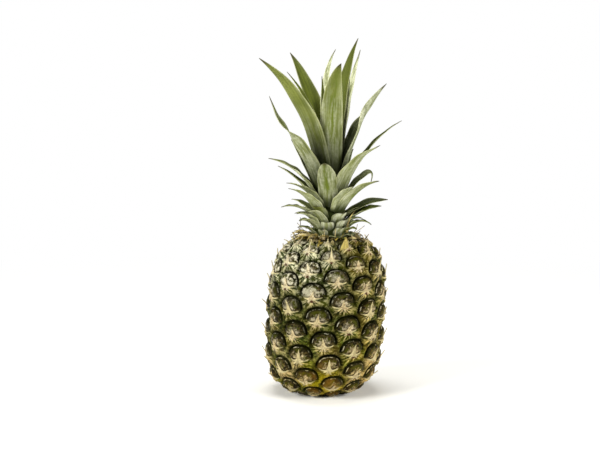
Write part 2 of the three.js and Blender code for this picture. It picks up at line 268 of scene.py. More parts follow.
def solidify(piece: Piece, thickness: float, group: str = "", shift: float = 0.0) -> None:
    """Gives a sheet its thickness, with the second material on its inner face.

    Args:
        piece: The sheet.
        thickness: Full thickness, in millimetres.
        group: Vertex group that scales the thickness.
        shift: -1 grows inwards, 0 both ways.
    """
    wall = piece.modifiers.new("wall", "SOLIDIFY")
    wall.thickness = thickness * MM
    wall.offset = shift
    wall.vertex_group = group
    wall.thickness_vertex_group = 0.0
    wall.use_even_offset = False
    wall.material_offset = len(piece.data.materials) - 1
    apply_modifiers(piece)


def subdivide(piece: Piece, levels: int) -> None:
    """Rounds a piece by subdivision, and applies it.

    Args:
        piece: The piece.
        levels: How many times each face is split.
    """
    surface = piece.modifiers.new("round", "SUBSURF")
    surface.levels = levels
    surface.render_levels = levels
    apply_modifiers(piece)


def join(pieces: Sequence[Piece], name: str) -> Piece:
    """Joins pieces in one mesh.

    Args:
        pieces: What is joined.
        name: The joined piece's name.

    Returns:
        The joined piece.
    """
    pick(pieces)
    bpy.ops.object.join()
    whole = bpy.context.view_layer.objects.active
    whole.name = name
    whole.data.name = name
    return whole


def copy_of(piece: Piece) -> Piece:
    """A copy of a piece with a mesh of its own.

    Args:
        piece: What is copied.

    Returns:
        The copy.
    """
    twin = piece.copy()
    twin.data = piece.data.copy()
    bpy.context.scene.collection.objects.link(twin)
    return twin


def smooth(piece: Piece, angle: float = 180.0) -> None:
    """Shades a piece smoothly, apart from edges sharper than an angle in degrees."""
    pick([piece])
    if angle < 180.0:
        bpy.ops.object.shade_smooth_by_angle(angle=math.radians(angle))
    else:
        bpy.ops.object.shade_smooth()


def settle(piece: Piece, replaced: Sequence[str] = ()) -> Piece:
    """Puts a finished piece on the body and hides the solids that it stands for.

    Args:
        piece: The piece, with its place in its mesh.
        replaced: The solids that it stands for.

    Returns:
        The same piece.
    """
    deselect_everything()
    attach(piece, BODY)
    if replaced:
        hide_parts(*replaced)
    log.info("%s: %d faces", piece.name, len(piece.data.polygons))
    return piece


# ---- node trees ----


@dataclass(frozen=True)
class Wire:
    """A value that runs through a node tree. Wires are added and multiplied as numbers are."""

    board: "NodeBoard"
    socket: bpy.types.NodeSocket

    def __add__(self, other: "Feed") -> "Wire":
        """The sum."""
        return self.board.math("ADD", self, other)

    def __sub__(self, other: "Feed") -> "Wire":
        """The difference."""
        return self.board.math("SUBTRACT", self, other)

    def __rsub__(self, other: "Feed") -> "Wire":
        """What is left of a number."""
        return self.board.math("SUBTRACT", other, self)

    def __mul__(self, other: "Feed") -> "Wire":
        """The product."""
        return self.board.math("MULTIPLY", self, other)

    def __abs__(self) -> "Wire":
        """The value without its sign."""
        return self.board.math("ABSOLUTE", self)


Feed = Wire | float | Sequence[float]
Feeds = dict[str | int, Feed]


class Socket(Enum):
    """What a socket of a shared group carries."""

    NUMBER = "NodeSocketFloat"
    PLACE = "NodeSocketVector"
    COLOUR = "NodeSocketColor"


@dataclass(frozen=True)
class NodeBoard:
    """Lays out nodes in one tree and wires them."""

    tree: bpy.types.NodeTree

    def feed(self, node: Node, feeds: Feeds) -> None:
        """Wires inputs of a node, or sets their values, by name or number."""
        for key, value in feeds.items():
            socket = node.inputs[key]
            if isinstance(value, Wire):
                self.tree.links.new(value.socket, socket)
            elif socket.type == "RGBA":
                socket.default_value = (*value, 1.0)
            else:
                socket.default_value = value

    def add(self, kind: str, feeds: Feeds, **settings: object) -> Node:
        """Adds a node.

        Args:
            kind: The node's type.
            feeds: What goes into its inputs, by name or number.
            **settings: The node's own settings.

        Returns:
            The node.
        """
        node = self.tree.nodes.new(kind)
        for key, value in settings.items():
            setattr(node, key, value)
        self.feed(node, feeds)
        return node

    def take(self, kind: str, feeds: Feeds, output: str | int = 0, **settings: object) -> Wire:
        """Adds a node as add does, and gives one of its outputs, by name or number."""
        return Wire(self, self.add(kind, feeds, **settings).outputs[output])

    def outputs(self, node: Node) -> dict[str, Wire]:
        """All that a node gives out, by name."""
        return {socket.name: Wire(self, socket) for socket in node.outputs}

    def math(self, operation: str, a: Feed, b: Feed = 0.0, clamp: bool = False) -> Wire:
        """A sum, product or other operation on two numbers."""
        return self.take("ShaderNodeMath", {0: a, 1: b}, operation=operation, use_clamp=clamp)

    def vector(self, operation: str, a: Feed, b: Feed = (0.0, 0.0, 0.0), output: str | int = 0) -> Wire:
        """A sum, product, length or other operation on two places."""
        return self.take("ShaderNodeVectorMath", {0: a, 1: b}, output, operation=operation)

    def length(self, place: Wire) -> Wire:
        """How long a place's vector is."""
        return self.vector("LENGTH", place, output="Value")

    def rise(self, value: Feed, low: float, high: float, start: float = 0.0, end: float = 1.0) -> Wire:
        """A smooth step of a number from low to high, given out as start to end."""
        feeds = {"Value": value, "From Min": low, "From Max": high, "To Min": start, "To Max": end}
        return self.take("ShaderNodeMapRange", feeds, "Result", interpolation_type="SMOOTHSTEP")

    def mix(self, share: Feed, a: Feed, b: Feed, blend: str = "MIX") -> Wire:
        """A mix of two colours."""
        return self.take("ShaderNodeMix", {0: share, 6: a, 7: b}, 2, data_type="RGBA", blend_type=blend)

    def noise(self, place: Wire, scale: float, detail: float = 3.0, rough: float = 0.55) -> Wire:
        """Smooth noise, from about 0.3 to 0.7."""
        feeds = {"Vector": place, "Scale": scale, "Detail": detail, "Roughness": rough}
        return self.take("ShaderNodeTexNoise", feeds)

    def patches(
        self,
        place: Wire,
        scale: float,
        band: Pair,
        span: Pair = (0.0, 1.0),
        detail: float = 3.0,
        rough: float = 0.55,
    ) -> Wire:
        """Soft patches: noise whose rise over a band is given out over a span."""
        return self.rise(self.noise(place, scale, detail, rough), *band, *span)

    def rays(self, way: Wire, number: float, shift: Wire) -> Wire:
        """Noise in rays round a point.

        Args:
            way: Direction from the point.
            number: Sets how many rays there are.
            shift: Moves the noise, for another draw of it.

        Returns:
            The noise, from about 0.3 to 0.7.
        """
        spread = self.vector("MULTIPLY", way, (number, number, 0.0))
        return self.noise(self.vector("ADD", spread, shift), 1.0, 2.0)

    def split(self, place: Wire) -> tuple[Wire, ...]:
        """The three numbers of a place."""
        return tuple(self.outputs(self.add("ShaderNodeSeparateXYZ", {0: place})).values())

    def combine(self, x: Feed, y: Feed, z: Feed = 0.0) -> Wire:
        """A place from three numbers."""
        return self.take("ShaderNodeCombineXYZ", {0: x, 1: y, 2: z})

    def colour_attribute(self, name: str) -> tuple[Wire, ...]:
        """The three numbers of a painted attribute."""
        painted = self.take("ShaderNodeAttribute", {}, "Color", attribute_name=name)
        return tuple(self.outputs(self.add("ShaderNodeSeparateColor", {0: painted})).values())

    def uv(self, name: str) -> Wire:
        """A place on a UV map."""
        return self.take("ShaderNodeUVMap", {}, uv_map=name)

    def uv_pair(self, name: str) -> tuple[Wire, ...]:
        """The two numbers of a place on a UV map."""
        return self.split(self.uv(name))[:2]

    def object_place(self) -> Wire:
        """The place on the object, in metres."""
        return self.take("ShaderNodeTexCoord", {}, "Object")

    def flat_place(self) -> Wire:
        """The place in an eye's flat map, in millimetres from its middle.

        Returns:
            The place.
        """
        half = FLAT_SPAN / 2
        feeds = {0: self.uv("place"), 1: (FLAT_SPAN, FLAT_SPAN, 0.0), 2: (-half, -half, 0.0)}
        return self.take("ShaderNodeVectorMath", feeds, operation="MULTIPLY_ADD")

    def relief(self, height: Wire, strength: float, depth: float) -> Wire:
        """A normal from a height of 0 to 1 that stands for a depth in millimetres."""
        feeds = {"Height": height, "Strength": strength, "Distance": depth * MM}
        return self.take("ShaderNodeBump", feeds)

    def dress(self, shader: Node, colour: Wire, roughness: Feed, specular: float, normal: Wire) -> None:
        """Feeds a shader with what a finish has worked out."""
        looks = {"Base Color": colour, "Roughness": roughness, "Specular IOR Level": specular}
        self.feed(shader, looks | {"Normal": normal})

    def seen(self) -> Wire:
        """1 for what the camera sees directly, and 0 for light that bounces."""
        return self.take("ShaderNodeLightPath", {}, "Is Camera Ray")

    def show(self, share: Wire, first: Wire, second: Wire, end: str) -> None:
        """Mixes two shaders and wires the mix to the output node of that name."""
        mixed = self.take("ShaderNodeMixShader", {0: share, 1: first, 2: second})
        self.feed(self.tree.nodes[end], {"Surface": mixed})

    def group(self, name: str, feeds: Feeds) -> dict[str, Wire]:
        """Places a shared node group, and gives its outputs by name."""
        return self.outputs(self.add("ShaderNodeGroup", feeds, node_tree=bpy.data.node_groups[name]))


def new_group(
    name: str, inputs: dict[str, Socket], outputs: dict[str, Socket]
) -> tuple[NodeBoard, dict[str, Wire]]:
    """Starts a shared node group.

    Args:
        name: The group's name.
        inputs: What each input carries, by name.
        outputs: What each output carries, by name.

    Returns:
        The board of the group's tree, and what comes in by name.
    """
    tree = bpy.data.node_groups.new(name, "ShaderNodeTree")
    for direction, sockets in (("INPUT", inputs), ("OUTPUT", outputs)):
        for label, kind in sockets.items():
            tree.interface.new_socket(label, in_out=direction, socket_type=kind.value)
    board = NodeBoard(tree)
    return board, board.outputs(board.add("NodeGroupInput", {}))


def new_material(name: str) -> tuple[Material, NodeBoard, Node]:
    """Starts a material.

    Args:
        name: Its name.

    Returns:
        The material, the board of its tree, and its shader.
    """
    material = bpy.data.materials.new(name)
    material.use_nodes = True
    return material, NodeBoard(material.node_tree), material.node_tree.nodes["Principled BSDF"]


# ---- the fruit ----


@dataclass(frozen=True)
class FruitForm:
    """The fruit's own form: a leaning barrel of superellipse section with flat ends."""

    radius: float = 59.4
    height: float = 160.0
    waist_height: float = 80.0
    half_height: float = 81.0
    lower_power: float = 3.5
    upper_power: float = 3.2
    lean: float = 0.055
    divergence: float = math.radians(137.95)
    rise: float = 1.864
    first_azimuth: float = math.radians(-7.9)
    first_arc: float = 124.2
    squeeze: float = 0.55
    least_width: float = 0.12
    seat_floor: float = 157.5  # height of the flat under the crown
    seat_gap: float = 0.35
    least_relief: float = 0.25  # how much of the eyes' relief is left at the very ends
    flat_steps: int = 40
    side_steps: int = 1600

    def radius_at(self, z: Array) -> Array:
        """Radius over the crowns of the eyes at heights z.

        Args:
            z: Heights, in millimetres.

        Returns:
            Radii, in millimetres.
        """
        power = np.where(z < self.waist_height, self.lower_power, self.upper_power)
        share = np.abs(z - self.waist_height) / self.half_height
        return self.radius * np.maximum(0, 1 - share**power) ** (1 / power)

    def trace(self) -> dict[str, Array]:
        """Walks the half section from the bottom centre to the top centre.

        Returns:
            Radius, height, way along the side, eye count and outward direction at each step.
        """
        flat = np.arange(self.flat_steps) / self.flat_steps
        turn = np.pi * np.arange(self.side_steps + 1) / self.side_steps
        z = self.height * (0.5 - 0.5 * np.cos(turn))
        side = self.radius_at(z)
        r = np.concatenate([side[0] * flat, side, side[-1] * flat[::-1]])
        z = np.concatenate([0 * flat, z, 0 * flat + self.height])
        run = np.hypot(np.diff(r), np.diff(z))
        arc = np.concatenate([[0], np.cumsum(run)])
        width = np.maximum(self.least_width, (r[1:] + r[:-1]) / 2 / self.radius)
        count = np.concatenate([[0], np.cumsum(run / (self.rise * width**self.squeeze))])
        count -= count[np.argmax(arc >= self.first_arc)]
        out_r, out_z = np.gradient(z, arc), -np.gradient(r, arc)
        size = np.hypot(out_r, out_z)
        return {"r": r, "z": z, "arc": arc, "count": count, "out_r": out_r / size, "out_z": out_z / size}


class Fruit:
    """Maps eye counts and azimuths to places on the fruit."""

    def __init__(self, form: FruitForm) -> None:
        """Traces the side once, for all later lookups."""
        self.form = form
        self.side = form.trace()

    def at(self, key: str, count: Array | float) -> Array:
        """One of the side's values at eye counts."""
        return np.interp(count, self.side["count"], self.side[key])

    def count_at(self, arc: float) -> float:
        """Eye count at a way along the side."""
        return float(np.interp(arc, self.side["arc"], self.side["count"]))

    def azimuth_of(self, number: int) -> float:
        """Direction that an eye faces, in radians, 0 towards -Y."""
        return self.form.first_azimuth + self.form.divergence * number

    def place(self, count: Array, azimuth: Array, lift: Array) -> Array:
        """Places on or off the side.

        Args:
            count: Eye counts along the side.
            azimuth: Directions, in radians.
            lift: Distances off the side.

        Returns:
            Places, one row each, none below the flat base.
        """
        r = np.maximum(0.0, self.at("r", count) + self.at("out_r", count) * lift)
        z = np.maximum(0.0, self.at("z", count) + self.at("out_z", count) * lift)
        x = r * np.sin(azimuth) + self.form.lean * z
        return np.stack([x, -r * np.cos(azimuth), z], -1)

    def eye_place(self, number: int, local: Array, lift: Array) -> Array:
        """Places in an eye's own flat map: x around the fruit and y up it, from the eye's middle.

        Args:
            number: The eye's number.
            local: Places in its flat map.
            lift: Distances off the side.

        Returns:
            Places in space, one row each.
        """
        count = number + local[:, 1] / self.form.rise
        azimuth = self.azimuth_of(number) + local[:, 0] / self.form.radius
        return self.place(count, azimuth, lift)

    def size_at(self, count: Array | float) -> Array:
        """How large the eyes' relief is at eye counts, 0 to 1."""
        return np.clip(self.at("r", count) / self.form.radius + self.form.least_relief, 0.0, 1.0)

    def to_neighbour(self, steps: int) -> Array:
        """Way in the flat map from one eye to another that is some steps on."""
        turn = (self.form.divergence * steps + math.pi) % (2 * math.pi) - math.pi
        return np.array([turn * self.form.radius, steps * self.form.rise])


def circle_middle(p: Array, q: Array) -> Array:
    """The middle of the circle through the origin and two points.

    Args:
        p: One point.
        q: The other point.

    Returns:
        The middle.
    """
    d = 2 * (p[0] * q[1] - p[1] * q[0])
    pp, qq = p @ p, q @ q
    return np.array([q[1] * pp - p[1] * qq, p[0] * qq - q[0] * pp]) / d


@dataclass(frozen=True)
class EyeShape:
    """The outline of a dome in the flat map: a round arch over two cheeks."""

    half_width: float = 12.9
    top: float = 13.3
    power: float = 2.6
    cheek_middle: float = 5.5
    cheek_half_width: float = 6.5
    cheek_low: float = -0.8
    inner_rise: float = 1.2
    outer_rise: float = 1.6
    gap_end: Pair = (-4.5, 3.0)  # where the gap fades out below the arch

    def floor(self, x: Array) -> Array:
        """Where the dome ends below, behind the bract's lip.

        Args:
            x: Places across the eye.

        Returns:
            The dome's lowest y at each of them.
        """
        away = np.abs(x)
        inner = self.cheek_low + self.inner_rise * (away / self.cheek_middle - 1) ** 2
        outer = self.cheek_low + self.outer_rise * ((away - self.cheek_middle) / self.cheek_half_width) ** 2
        return np.where(away < self.cheek_middle, inner, outer)

    def share(self, p: Array) -> Array:
        """How far out points lie, 1 on the arch."""
        x, y = np.abs(p[..., 0]) / self.half_width, np.maximum(p[..., 1], 0.0) / self.top
        return (x**self.power + y**self.power) ** (1 / self.power)

    def inside(self, p: Array) -> Array:
        """Whether points lie on the dome."""
        return (self.share(p) < 1) & (p[..., 1] > self.floor(p[..., 0]))

    def away(self, p: Array) -> Array:
        """Distance of points from the arch, in millimetres.

        Args:
            p: Places in the flat map.

        Returns:
            The distances.
        """
        out = np.hypot(p[..., 0], np.maximum(p[..., 1], 0))
        radial = np.abs(out * (1 - 1 / np.maximum(self.share(p), 0.1)))
        beside = np.hypot(np.abs(p[..., 0]) - self.half_width, p[..., 1])
        return np.where(p[..., 1] > 0, radial, beside)

    def gap(self, p: Array, spread: float) -> Array:
        """How much points lie in the gap that runs round the arch, 0 to 1.

        Args:
            p: Places in the flat map.
            spread: The gap's half width, in millimetres.

        Returns:
            1 along the arch, falling to 0 away from it and below the eye.
        """
        return bump(self.away(p), 0.0, spread) * smoothstep(p[..., 1], *self.gap_end)


@dataclass(frozen=True)
class EyeDraw:
    """How one eye differs from the next."""

    plump: float
    wide: float
    lean: float
    sway: float
    reach: float
    tint: float


@dataclass
class Rind:
    """The skin of the fruit: one tile for each eye, with its dome, groove and green skirt."""

    fruit: Fruit
    shape: EyeShape = EyeShape()
    lowest_arc: float = 20.0
    highest_arc: float = 216.0
    seed: int = 41
    cell_shift: float = 3.0  # the cell's middle stands this far above the eye's
    hub: Pair = (0.0, 5.5)  # where the tile's spokes meet, inside the dome
    gap_spread: float = 1.9
    gap_depth: float = 3.9
    painted_shade_spread: float = 3.4
    lip_lift: float = 0.9
    swell_height: float = 1.6
    swell_reach: Pair = (8.5, 5.5)  # half width and half height of a skirt's swelling
    swell_middle: float = -2.5
    dome_height: float = 1.6
    dome_powers: Pair = (2.4, 0.6)
    upper: Pair = (0.5, 4.0)  # how far up an eye its lower edge turns into the arch
    upper_looks: Pair = (-1.0, 3.5)  # the same for what the finish reads
    rim_depth: float = 1.9
    slit_depth: float = 2.4  # of the slit between a dome and its bract
    cheek_height: float = 0.7
    cheek_bell: Pair = (6.4, 3.4)
    furrow_half_width: float = 2.0
    skew: float = 0.12  # how much one eye's outline leans or widens more than the next
    hub_height: float = 5.0
    swelling: float = 2.5  # how much of a plump eye's draw shows in its height
    mesh_gap: float = 0.02  # millimetres within which neighbouring cells' corners are merged
    ray_steps: int = 401
    widest_gap: float = 0.35  # share of a spoke beyond the dome that the gap may take
    lumps: tuple[Pair, ...] = ((3.2, 0.35), (1.4, 0.16))  # size and height of each kind
    edge_steps: tuple[int, int, int] = (7, 8, 4)  # spokes on the cell's right, top and left edges
    dome_rings: tuple[float, ...] = (0.22, 0.42, 0.6, 0.74, 0.85, 0.93, 0.98, 1.0)
    gap_rings: tuple[float, ...] = (0.6, 1.3, 2.2)  # millimetres beyond the dome
    skirt_rings: tuple[float, ...] = (0.18, 0.38, 0.6, 0.8, 1.0)

    @cached_property
    def eyes(self) -> dict[int, EyeDraw]:
        """How each eye differs, by its number.

        Returns:
            Each eye's draw.
        """
        draw, other = draw_from(self.seed), draw_from(self.seed + 1)
        lowest = math.ceil(self.fruit.count_at(self.lowest_arc))
        highest = math.floor(self.fruit.count_at(self.highest_arc))
        eyes = {}
        for number in range(lowest, highest + 1):
            first, second, third = draw(), draw(), draw()
            eyes[number] = EyeDraw(
                plump=0.75 + 0.5 * first,
                wide=second - 0.5,
                lean=third - 0.5,
                sway=(second - 0.5) * 3.4 + 0.6,
                reach=0.55 + 0.7 * third,
                tint=other(),
            )
        return eyes

    def cell(self) -> Array:
        """The six-sided outline that every eye fills, as the far ends of the tile's spokes.

        Returns:
            One place for each spoke, in the flat map.
        """
        left, right, up = (self.fruit.to_neighbour(steps) for steps in SPIRALS)
        upper_left = circle_middle(left, up)
        upper_right = circle_middle(up, right)
        far_right = upper_left - left
        corners = [far_right, upper_right, upper_left, -far_right, -upper_right, -upper_left]
        points = []
        for i, corner in enumerate(corners):
            after = corners[(i + 1) % 6]
            steps = self.edge_steps[i % 3]
            points += [corner + (after - corner) * k / steps for k in range(steps)]
        return np.array(points) + [0.0, self.cell_shift]

    def around(self) -> list[Array]:
        """The middles of an eye and of its six neighbours, in its flat map."""
        ways = [self.fruit.to_neighbour(steps) for steps in SPIRALS]
        return [np.zeros(2)] + ways + [-way for way in ways]

    def gap_at(self, points: Array, spread: float) -> Array:
        """How much places lie in any of the gaps around, 0 to 1, for gaps of a half width."""
        return np.max([self.shape.gap(points - eye, spread) for eye in self.around()], axis=0)

    def skirt_lift(self, points: Array) -> Array:
        """Height of the skirts at places between the domes.

        Args:
            points: Places in the flat map.

        Returns:
            Heights off the side.
        """
        half_width, half_height = self.swell_reach
        swell = np.zeros(points.shape[:-1])
        for eye in self.around():
            x, y = points[..., 0] - eye[0], points[..., 1] - eye[1]
            swell += bump(x, 0.0, half_width) * bump(y, self.swell_middle, half_height)
        gap = self.gap_at(points, self.gap_spread)
        return self.lip_lift * (self.swell_height * swell - 0.5) - self.gap_depth * gap

    def tile_points(self) -> tuple[Array, Array]:
        """Lays out the tile's rings from the hub to the cell's outline.

        Returns:
            Places in the flat map as [ring, spoke, xy], and each ring's kind as [ring, kind] with
            the share of the dome, of the gap and of the skirt that it has crossed.
        """
        hub, rim = np.array(self.hub), self.cell()
        shares = np.linspace(0, 1, self.ray_steps)
        rays = hub + shares[:, None, None] * (rim - hub)
        inside = self.shape.inside(rays)
        dome_end = shares[inside.shape[0] - 1 - np.argmax(inside[::-1], axis=0)]
        reach = np.linalg.norm(rim - hub, axis=1)
        rings, kinds = [np.zeros_like(dome_end)], [(0.0, 0.0, 0.0)]
        for share in self.dome_rings:
            rings.append(dome_end * share)
            kinds.append((share, 0.0, 0.0))
        widest = self.gap_rings[-1]
        gap_end = np.minimum(dome_end + widest / reach, self.widest_gap + (1 - self.widest_gap) * dome_end)
        for width in self.gap_rings:
            rings.append(dome_end + (gap_end - dome_end) * width / widest)
            kinds.append((1.0, width / widest, 0.0))
        for share in self.skirt_rings:
            rings.append(gap_end + (1 - gap_end) * share)
            kinds.append((1.0, 1.0, share))
        points = hub + np.array(rings)[:, :, None] * (rim - hub)
        return points, np.array(kinds)

    def lifts(self, points: Array, kinds: Array) -> Array:
        """The tile's relief.

        Args:
            points: Places in the flat map as [ring, spoke, xy].
            kinds: What each ring has crossed.

        Returns:
            Heights off the side as [ring, spoke].
        """
        dome, gap, _ = (kinds[:, i, None] for i in range(3))
        x, y = points[..., 0], points[..., 1]
        above = smoothstep(y, *self.upper)
        inner, outer = self.dome_powers
        cushion = (1 - dome**inner) ** outer
        rim = -self.rim_depth * above - self.slit_depth * (1 - above)
        furrow = bump(x, 0.0, self.furrow_half_width)
        cheeks = self.cheek_height * bump(np.abs(x), *self.cheek_bell) - furrow
        on_dome = rim + (self.dome_height - rim) * cushion + cheeks * (1 - dome**3)
        skirt = self.skirt_lift(points)
        slit = -self.slit_depth + (skirt + self.slit_depth) * smoothstep(gap, 0.25, 1.0)
        beyond = skirt * above + slit * (1 - above)
        return np.where(gap == 0, on_dome, beyond)

    def make_tile(self) -> tuple[Piece, Array, Array]:
        """Models the disc that every eye is shaped from.

        Returns:
            The disc, and the ring and the spoke of each of its corners.
        """
        spokes = 2 * sum(self.edge_steps)
        rings = len(self.dome_rings) + len(self.gap_rings) + len(self.skirt_rings)
        deselect_everything()
        bpy.ops.mesh.primitive_circle_add(vertices=spokes, radius=1.0, fill_type="NGON", calc_uvs=False)
        tile = bpy.context.object
        edit(tile)
        for _ in range(rings - 1):
            bpy.ops.mesh.inset(thickness=math.cos(math.pi / spokes) / rings)
        bpy.ops.mesh.poke()
        close_edit()
        flat = corners_of(tile.data)
        ring = np.rint(np.hypot(flat[:, 0], flat[:, 1]) * rings).astype(int)
        turn = np.arctan2(flat[:, 1], flat[:, 0]) / (2 * math.pi)
        first = turn[ring == rings].min()
        spoke = np.rint((turn - first) * spokes).astype(int) % spokes
        return tile, ring, spoke

    def zones(self, points: Array, kinds: Array) -> Array:
        """What the finish reads at each point of the tile.

        Args:
            points: Places in the flat map as [ring, spoke, xy].
            kinds: What each ring has crossed.

        Returns:
            On the dome or not, how much painted shade falls in and round the gaps, in the slit under the lip
            and inside the dome's rim, and how near the dome's rim, all 0 to 1.
        """
        dome, gap, _ = (kinds[:, i, None] for i in range(3))
        above = smoothstep(points[..., 1], *self.upper_looks)
        on_dome = np.where(gap > 0, 0.0, 1.0) * np.ones_like(above)
        # Painted shade: dark round the gaps, in the slit under each bract's lip, and inside the dome's rim.
        lip = (1 - smoothstep(gap, 0.2, 0.8)) * (1 - above)
        outside = np.maximum(self.gap_at(points, self.painted_shade_spread), lip)
        inside = smoothstep(dome, 0.86, 1.0) * (0.6 + 0.3 * above)
        crevice = np.where(gap > 0, outside, inside)
        rim = np.where(gap > 0, 0.0, dome) * above
        return np.stack([on_dome, crevice, rim], -1)

    def shape_eye(self, number: int, local: Array, lift: Array, inner: Array) -> Array:
        """Shapes the tile to one eye.

        Args:
            number: The eye's number.
            local: The tile's corners in the flat map.
            lift: Their heights off the side.
            inner: 0 on the cell's outline, which fits the neighbours, and 1 at the hub.

        Returns:
            The corners' places, in millimetres.
        """
        eye = self.eyes[number]
        moved = local.copy()
        lean = (local[:, 1] - self.hub_height) * self.skew * eye.lean
        moved[:, 0] += inner * (local[:, 0] * self.skew * eye.wide + lean)
        plump = 1 + (eye.plump - 1) * inner * self.swelling
        height = np.where(lift > -0.5, lift * plump, lift)
        size = self.fruit.size_at(number + local[:, 1] / self.fruit.form.rise)
        base = self.fruit.eye_place(number, moved, height * size)
        rough = np.zeros(len(local))
        for (lump, relief), shift in zip(self.lumps, (number * 0.37, 7.7)):
            rough += roughen(base, lump, shift) * relief
        return self.fruit.eye_place(number, moved, (height + rough * np.minimum(inner * 4, 1)) * size)

    def build(self, material: Material) -> Piece:
        """Builds the rind.

        Args:
            material: Its finish.

        Returns:
            The piece.
        """
        tile, ring, spoke = self.make_tile()
        points, kinds = self.tile_points()
        lifts, zones = self.lifts(points, kinds), self.zones(points, kinds)
        spoke = np.where(ring == 0, 0, spoke)
        local, lift, zone = points[ring, spoke], lifts[ring, spoke], zones[ring, spoke]
        inner = 1 - (kinds[ring, 0] + kinds[ring, 1] + kinds[ring, 2]) / 3
        tile.data.materials.append(material)
        paint(tile.data, "zones", zone)
        write_uv(tile.data, "place", local / FLAT_SPAN + 0.5)
        tiles = []
        for number, eye in self.eyes.items():
            twin = copy_of(tile)
            move_corners(twin.data, self.shape_eye(number, local, lift, inner) * MM)
            write_same(twin.data, "draw", eye.tint, eye.lean + 0.5)
            tiles.append(twin)
        bpy.data.objects.remove(tile)
        rind = join(tiles, "rind")
        edit(rind)
        bpy.ops.mesh.remove_doubles(threshold=self.mesh_gap * MM)
        self.close_ends()
        face_outwards()
        close_edit()
        smooth(rind)
        return settle(rind, ["fruit"])

    def close_ends(self) -> None:
        """Closes the open rings at the bottom and the top with a fan each, in edit mode."""
        bpy.ops.mesh.select_all(action="DESELECT")
        bpy.ops.mesh.select_mode(type="EDGE")
        bpy.ops.mesh.select_non_manifold(extend=False, use_non_contiguous=False, use_multi_face=False)
        bpy.ops.mesh.edge_face_add()
        bpy.ops.mesh.select_mode(type="FACE")


@dataclass
class Bracts:
    """The spined bract over the foot of each dome: a shield-shaped shell, fused in one piece."""

    fruit: Fruit
    rind: Rind
    half_width: float = 11.5
    spine_half_width: float = 2.7
    width_power: float = 1.7  # crowds the sheet's columns into the spine
    lip_height: float = 0.5
    reach: float = 9.6
    lift: float = 4.5
    depth: float = 7.6
    thickness: float = 0.8
    upright_arc: Pair = (34, 60)  # the spines lie flat on the foot, and stand above it
    rise_off_skirt: float = 0.5
    edge_sink: float = 1.5
    ridge_height: float = 0.45
    rib_height: float = 0.7
    rib_half_width: float = 1.2
    lump_size: float = 2.2
    lump_height: float = 0.35
    columns: int = 16
    rows: int = 8

    def outline(self, across: Array, reach: float) -> tuple[Array, Array, Array]:
        """The shell's outline in the flat map.

        Args:
            across: Place across the shell, -1 to 1.
            reach: How far up the spine goes.

        Returns:
            x, the lower edge's y and the upper edge's y.
        """
        x = self.half_width * np.sign(across) * np.abs(across) ** self.width_power
        away = np.abs(x)
        lip = self.rind.shape.floor(x) + self.lip_height
        spine = (reach - 1.0) * np.maximum(0, 1 - away / self.spine_half_width) ** 1.5
        lower = -self.depth + (self.depth + 1.8) * (away / self.half_width) ** 2.2
        return x, lower, lip + spine

    def shape_shell(self, number: int, across: Array, up: Array) -> tuple[Array, Array, Array]:
        """Shapes the shell over one eye.

        Args:
            number: The eye's number.
            across: Places across the shell, -1 to 1.
            up: Places up the shell, 0 to 1.

        Returns:
            x and y in the flat map, and the corners' places in millimetres.
        """
        eye = self.rind.eyes[number]
        stand = float(smoothstep(float(self.fruit.at("arc", number)), *self.upright_arc))
        reach = self.reach * eye.reach * (0.25 + 0.75 * stand)
        x, lower, upper = self.outline(across, reach)
        y = lower + (upper - lower) * up**0.8
        tip = np.clip((y - 2.0) / max(reach - 2.0, 1.0), 0, 1)
        ridge = bump(x, 0.0, 1.5 + 1.2 * (1 - up))
        edge = smoothstep(np.maximum(np.abs(across), 1 - up), 0.72, 1.0)
        spread = 0.75 + 0.35 * eye.tint
        ribs = sum(bump(x, side * (0.6 - spread * y), self.rib_half_width) for side in (-1, 1))
        ribs = ribs * smoothstep(y, 0.5, -2.0)
        lift = self.rind.skirt_lift(np.stack([x, np.minimum(y, -0.5)], -1)) + self.rise_off_skirt
        lift += 0.35 * up - self.edge_sink * edge
        lift += self.ridge_height * ridge * up + self.rib_height * ribs * (1 - edge)
        lift += self.lift * (0.45 + 0.75 * eye.tint) * tip**1.2 * stand * ridge**0.3
        local = np.stack([x + eye.sway * tip**1.3, y], -1)
        size = self.fruit.size_at(number)
        base = self.fruit.eye_place(number, local, lift * size)
        rough = roughen(base, self.lump_size, 3.1) * self.lump_height * (1 - tip)
        return x, y, self.fruit.eye_place(number, local, (lift + rough) * size)

    def build(self, material: Material) -> Piece:
        """Builds the bracts.

        Args:
            material: Their finish.

        Returns:
            The piece.
        """
        sheet = new_sheet(self.columns, self.rows, [material])
        flat = corners_of(sheet.data)
        across, up = flat[:, 0], flat[:, 1] / 2 + 0.5
        shells = []
        for number, eye in self.rind.eyes.items():
            shell = copy_of(sheet)
            x, y, shaped = self.shape_shell(number, across, up)
            move_corners(shell.data, shaped * MM)
            write_uv(shell.data, "place", np.stack([x, y], -1) / FLAT_SPAN + 0.5)
            write_same(shell.data, "draw", eye.tint, eye.lean + 0.5)
            shells.append(shell)
        bpy.data.objects.remove(sheet)
        bracts = join(shells, "bracts")
        solidify(bracts, self.thickness, shift=-0.6)
        corners = corners_of(bracts.data)
        corners[:, 2] = np.maximum(corners[:, 2], 0.0)
        move_corners(bracts.data, corners)
        edit(bracts)
        face_outwards()
        close_edit()
        smooth(bracts, 50)
        return settle(bracts)


# ---- the crown ----


class Blade(Enum):
    """The kinds of leaf, by outline."""

    LONG = "long"
    SCALE = "scale"
    HUMP = "hump"
    BLUNT = "blunt"
    SHRED = "shred"
    SPIKE = "spike"


# How far off the stem each kind grows, in millimetres.
STANDS = {
    Blade.LONG: 1.2,
    Blade.SCALE: -1.2,
    Blade.HUMP: -1.2,
    Blade.BLUNT: -1.2,
    Blade.SHRED: 3.5,
    Blade.SPIKE: 15.0,
}


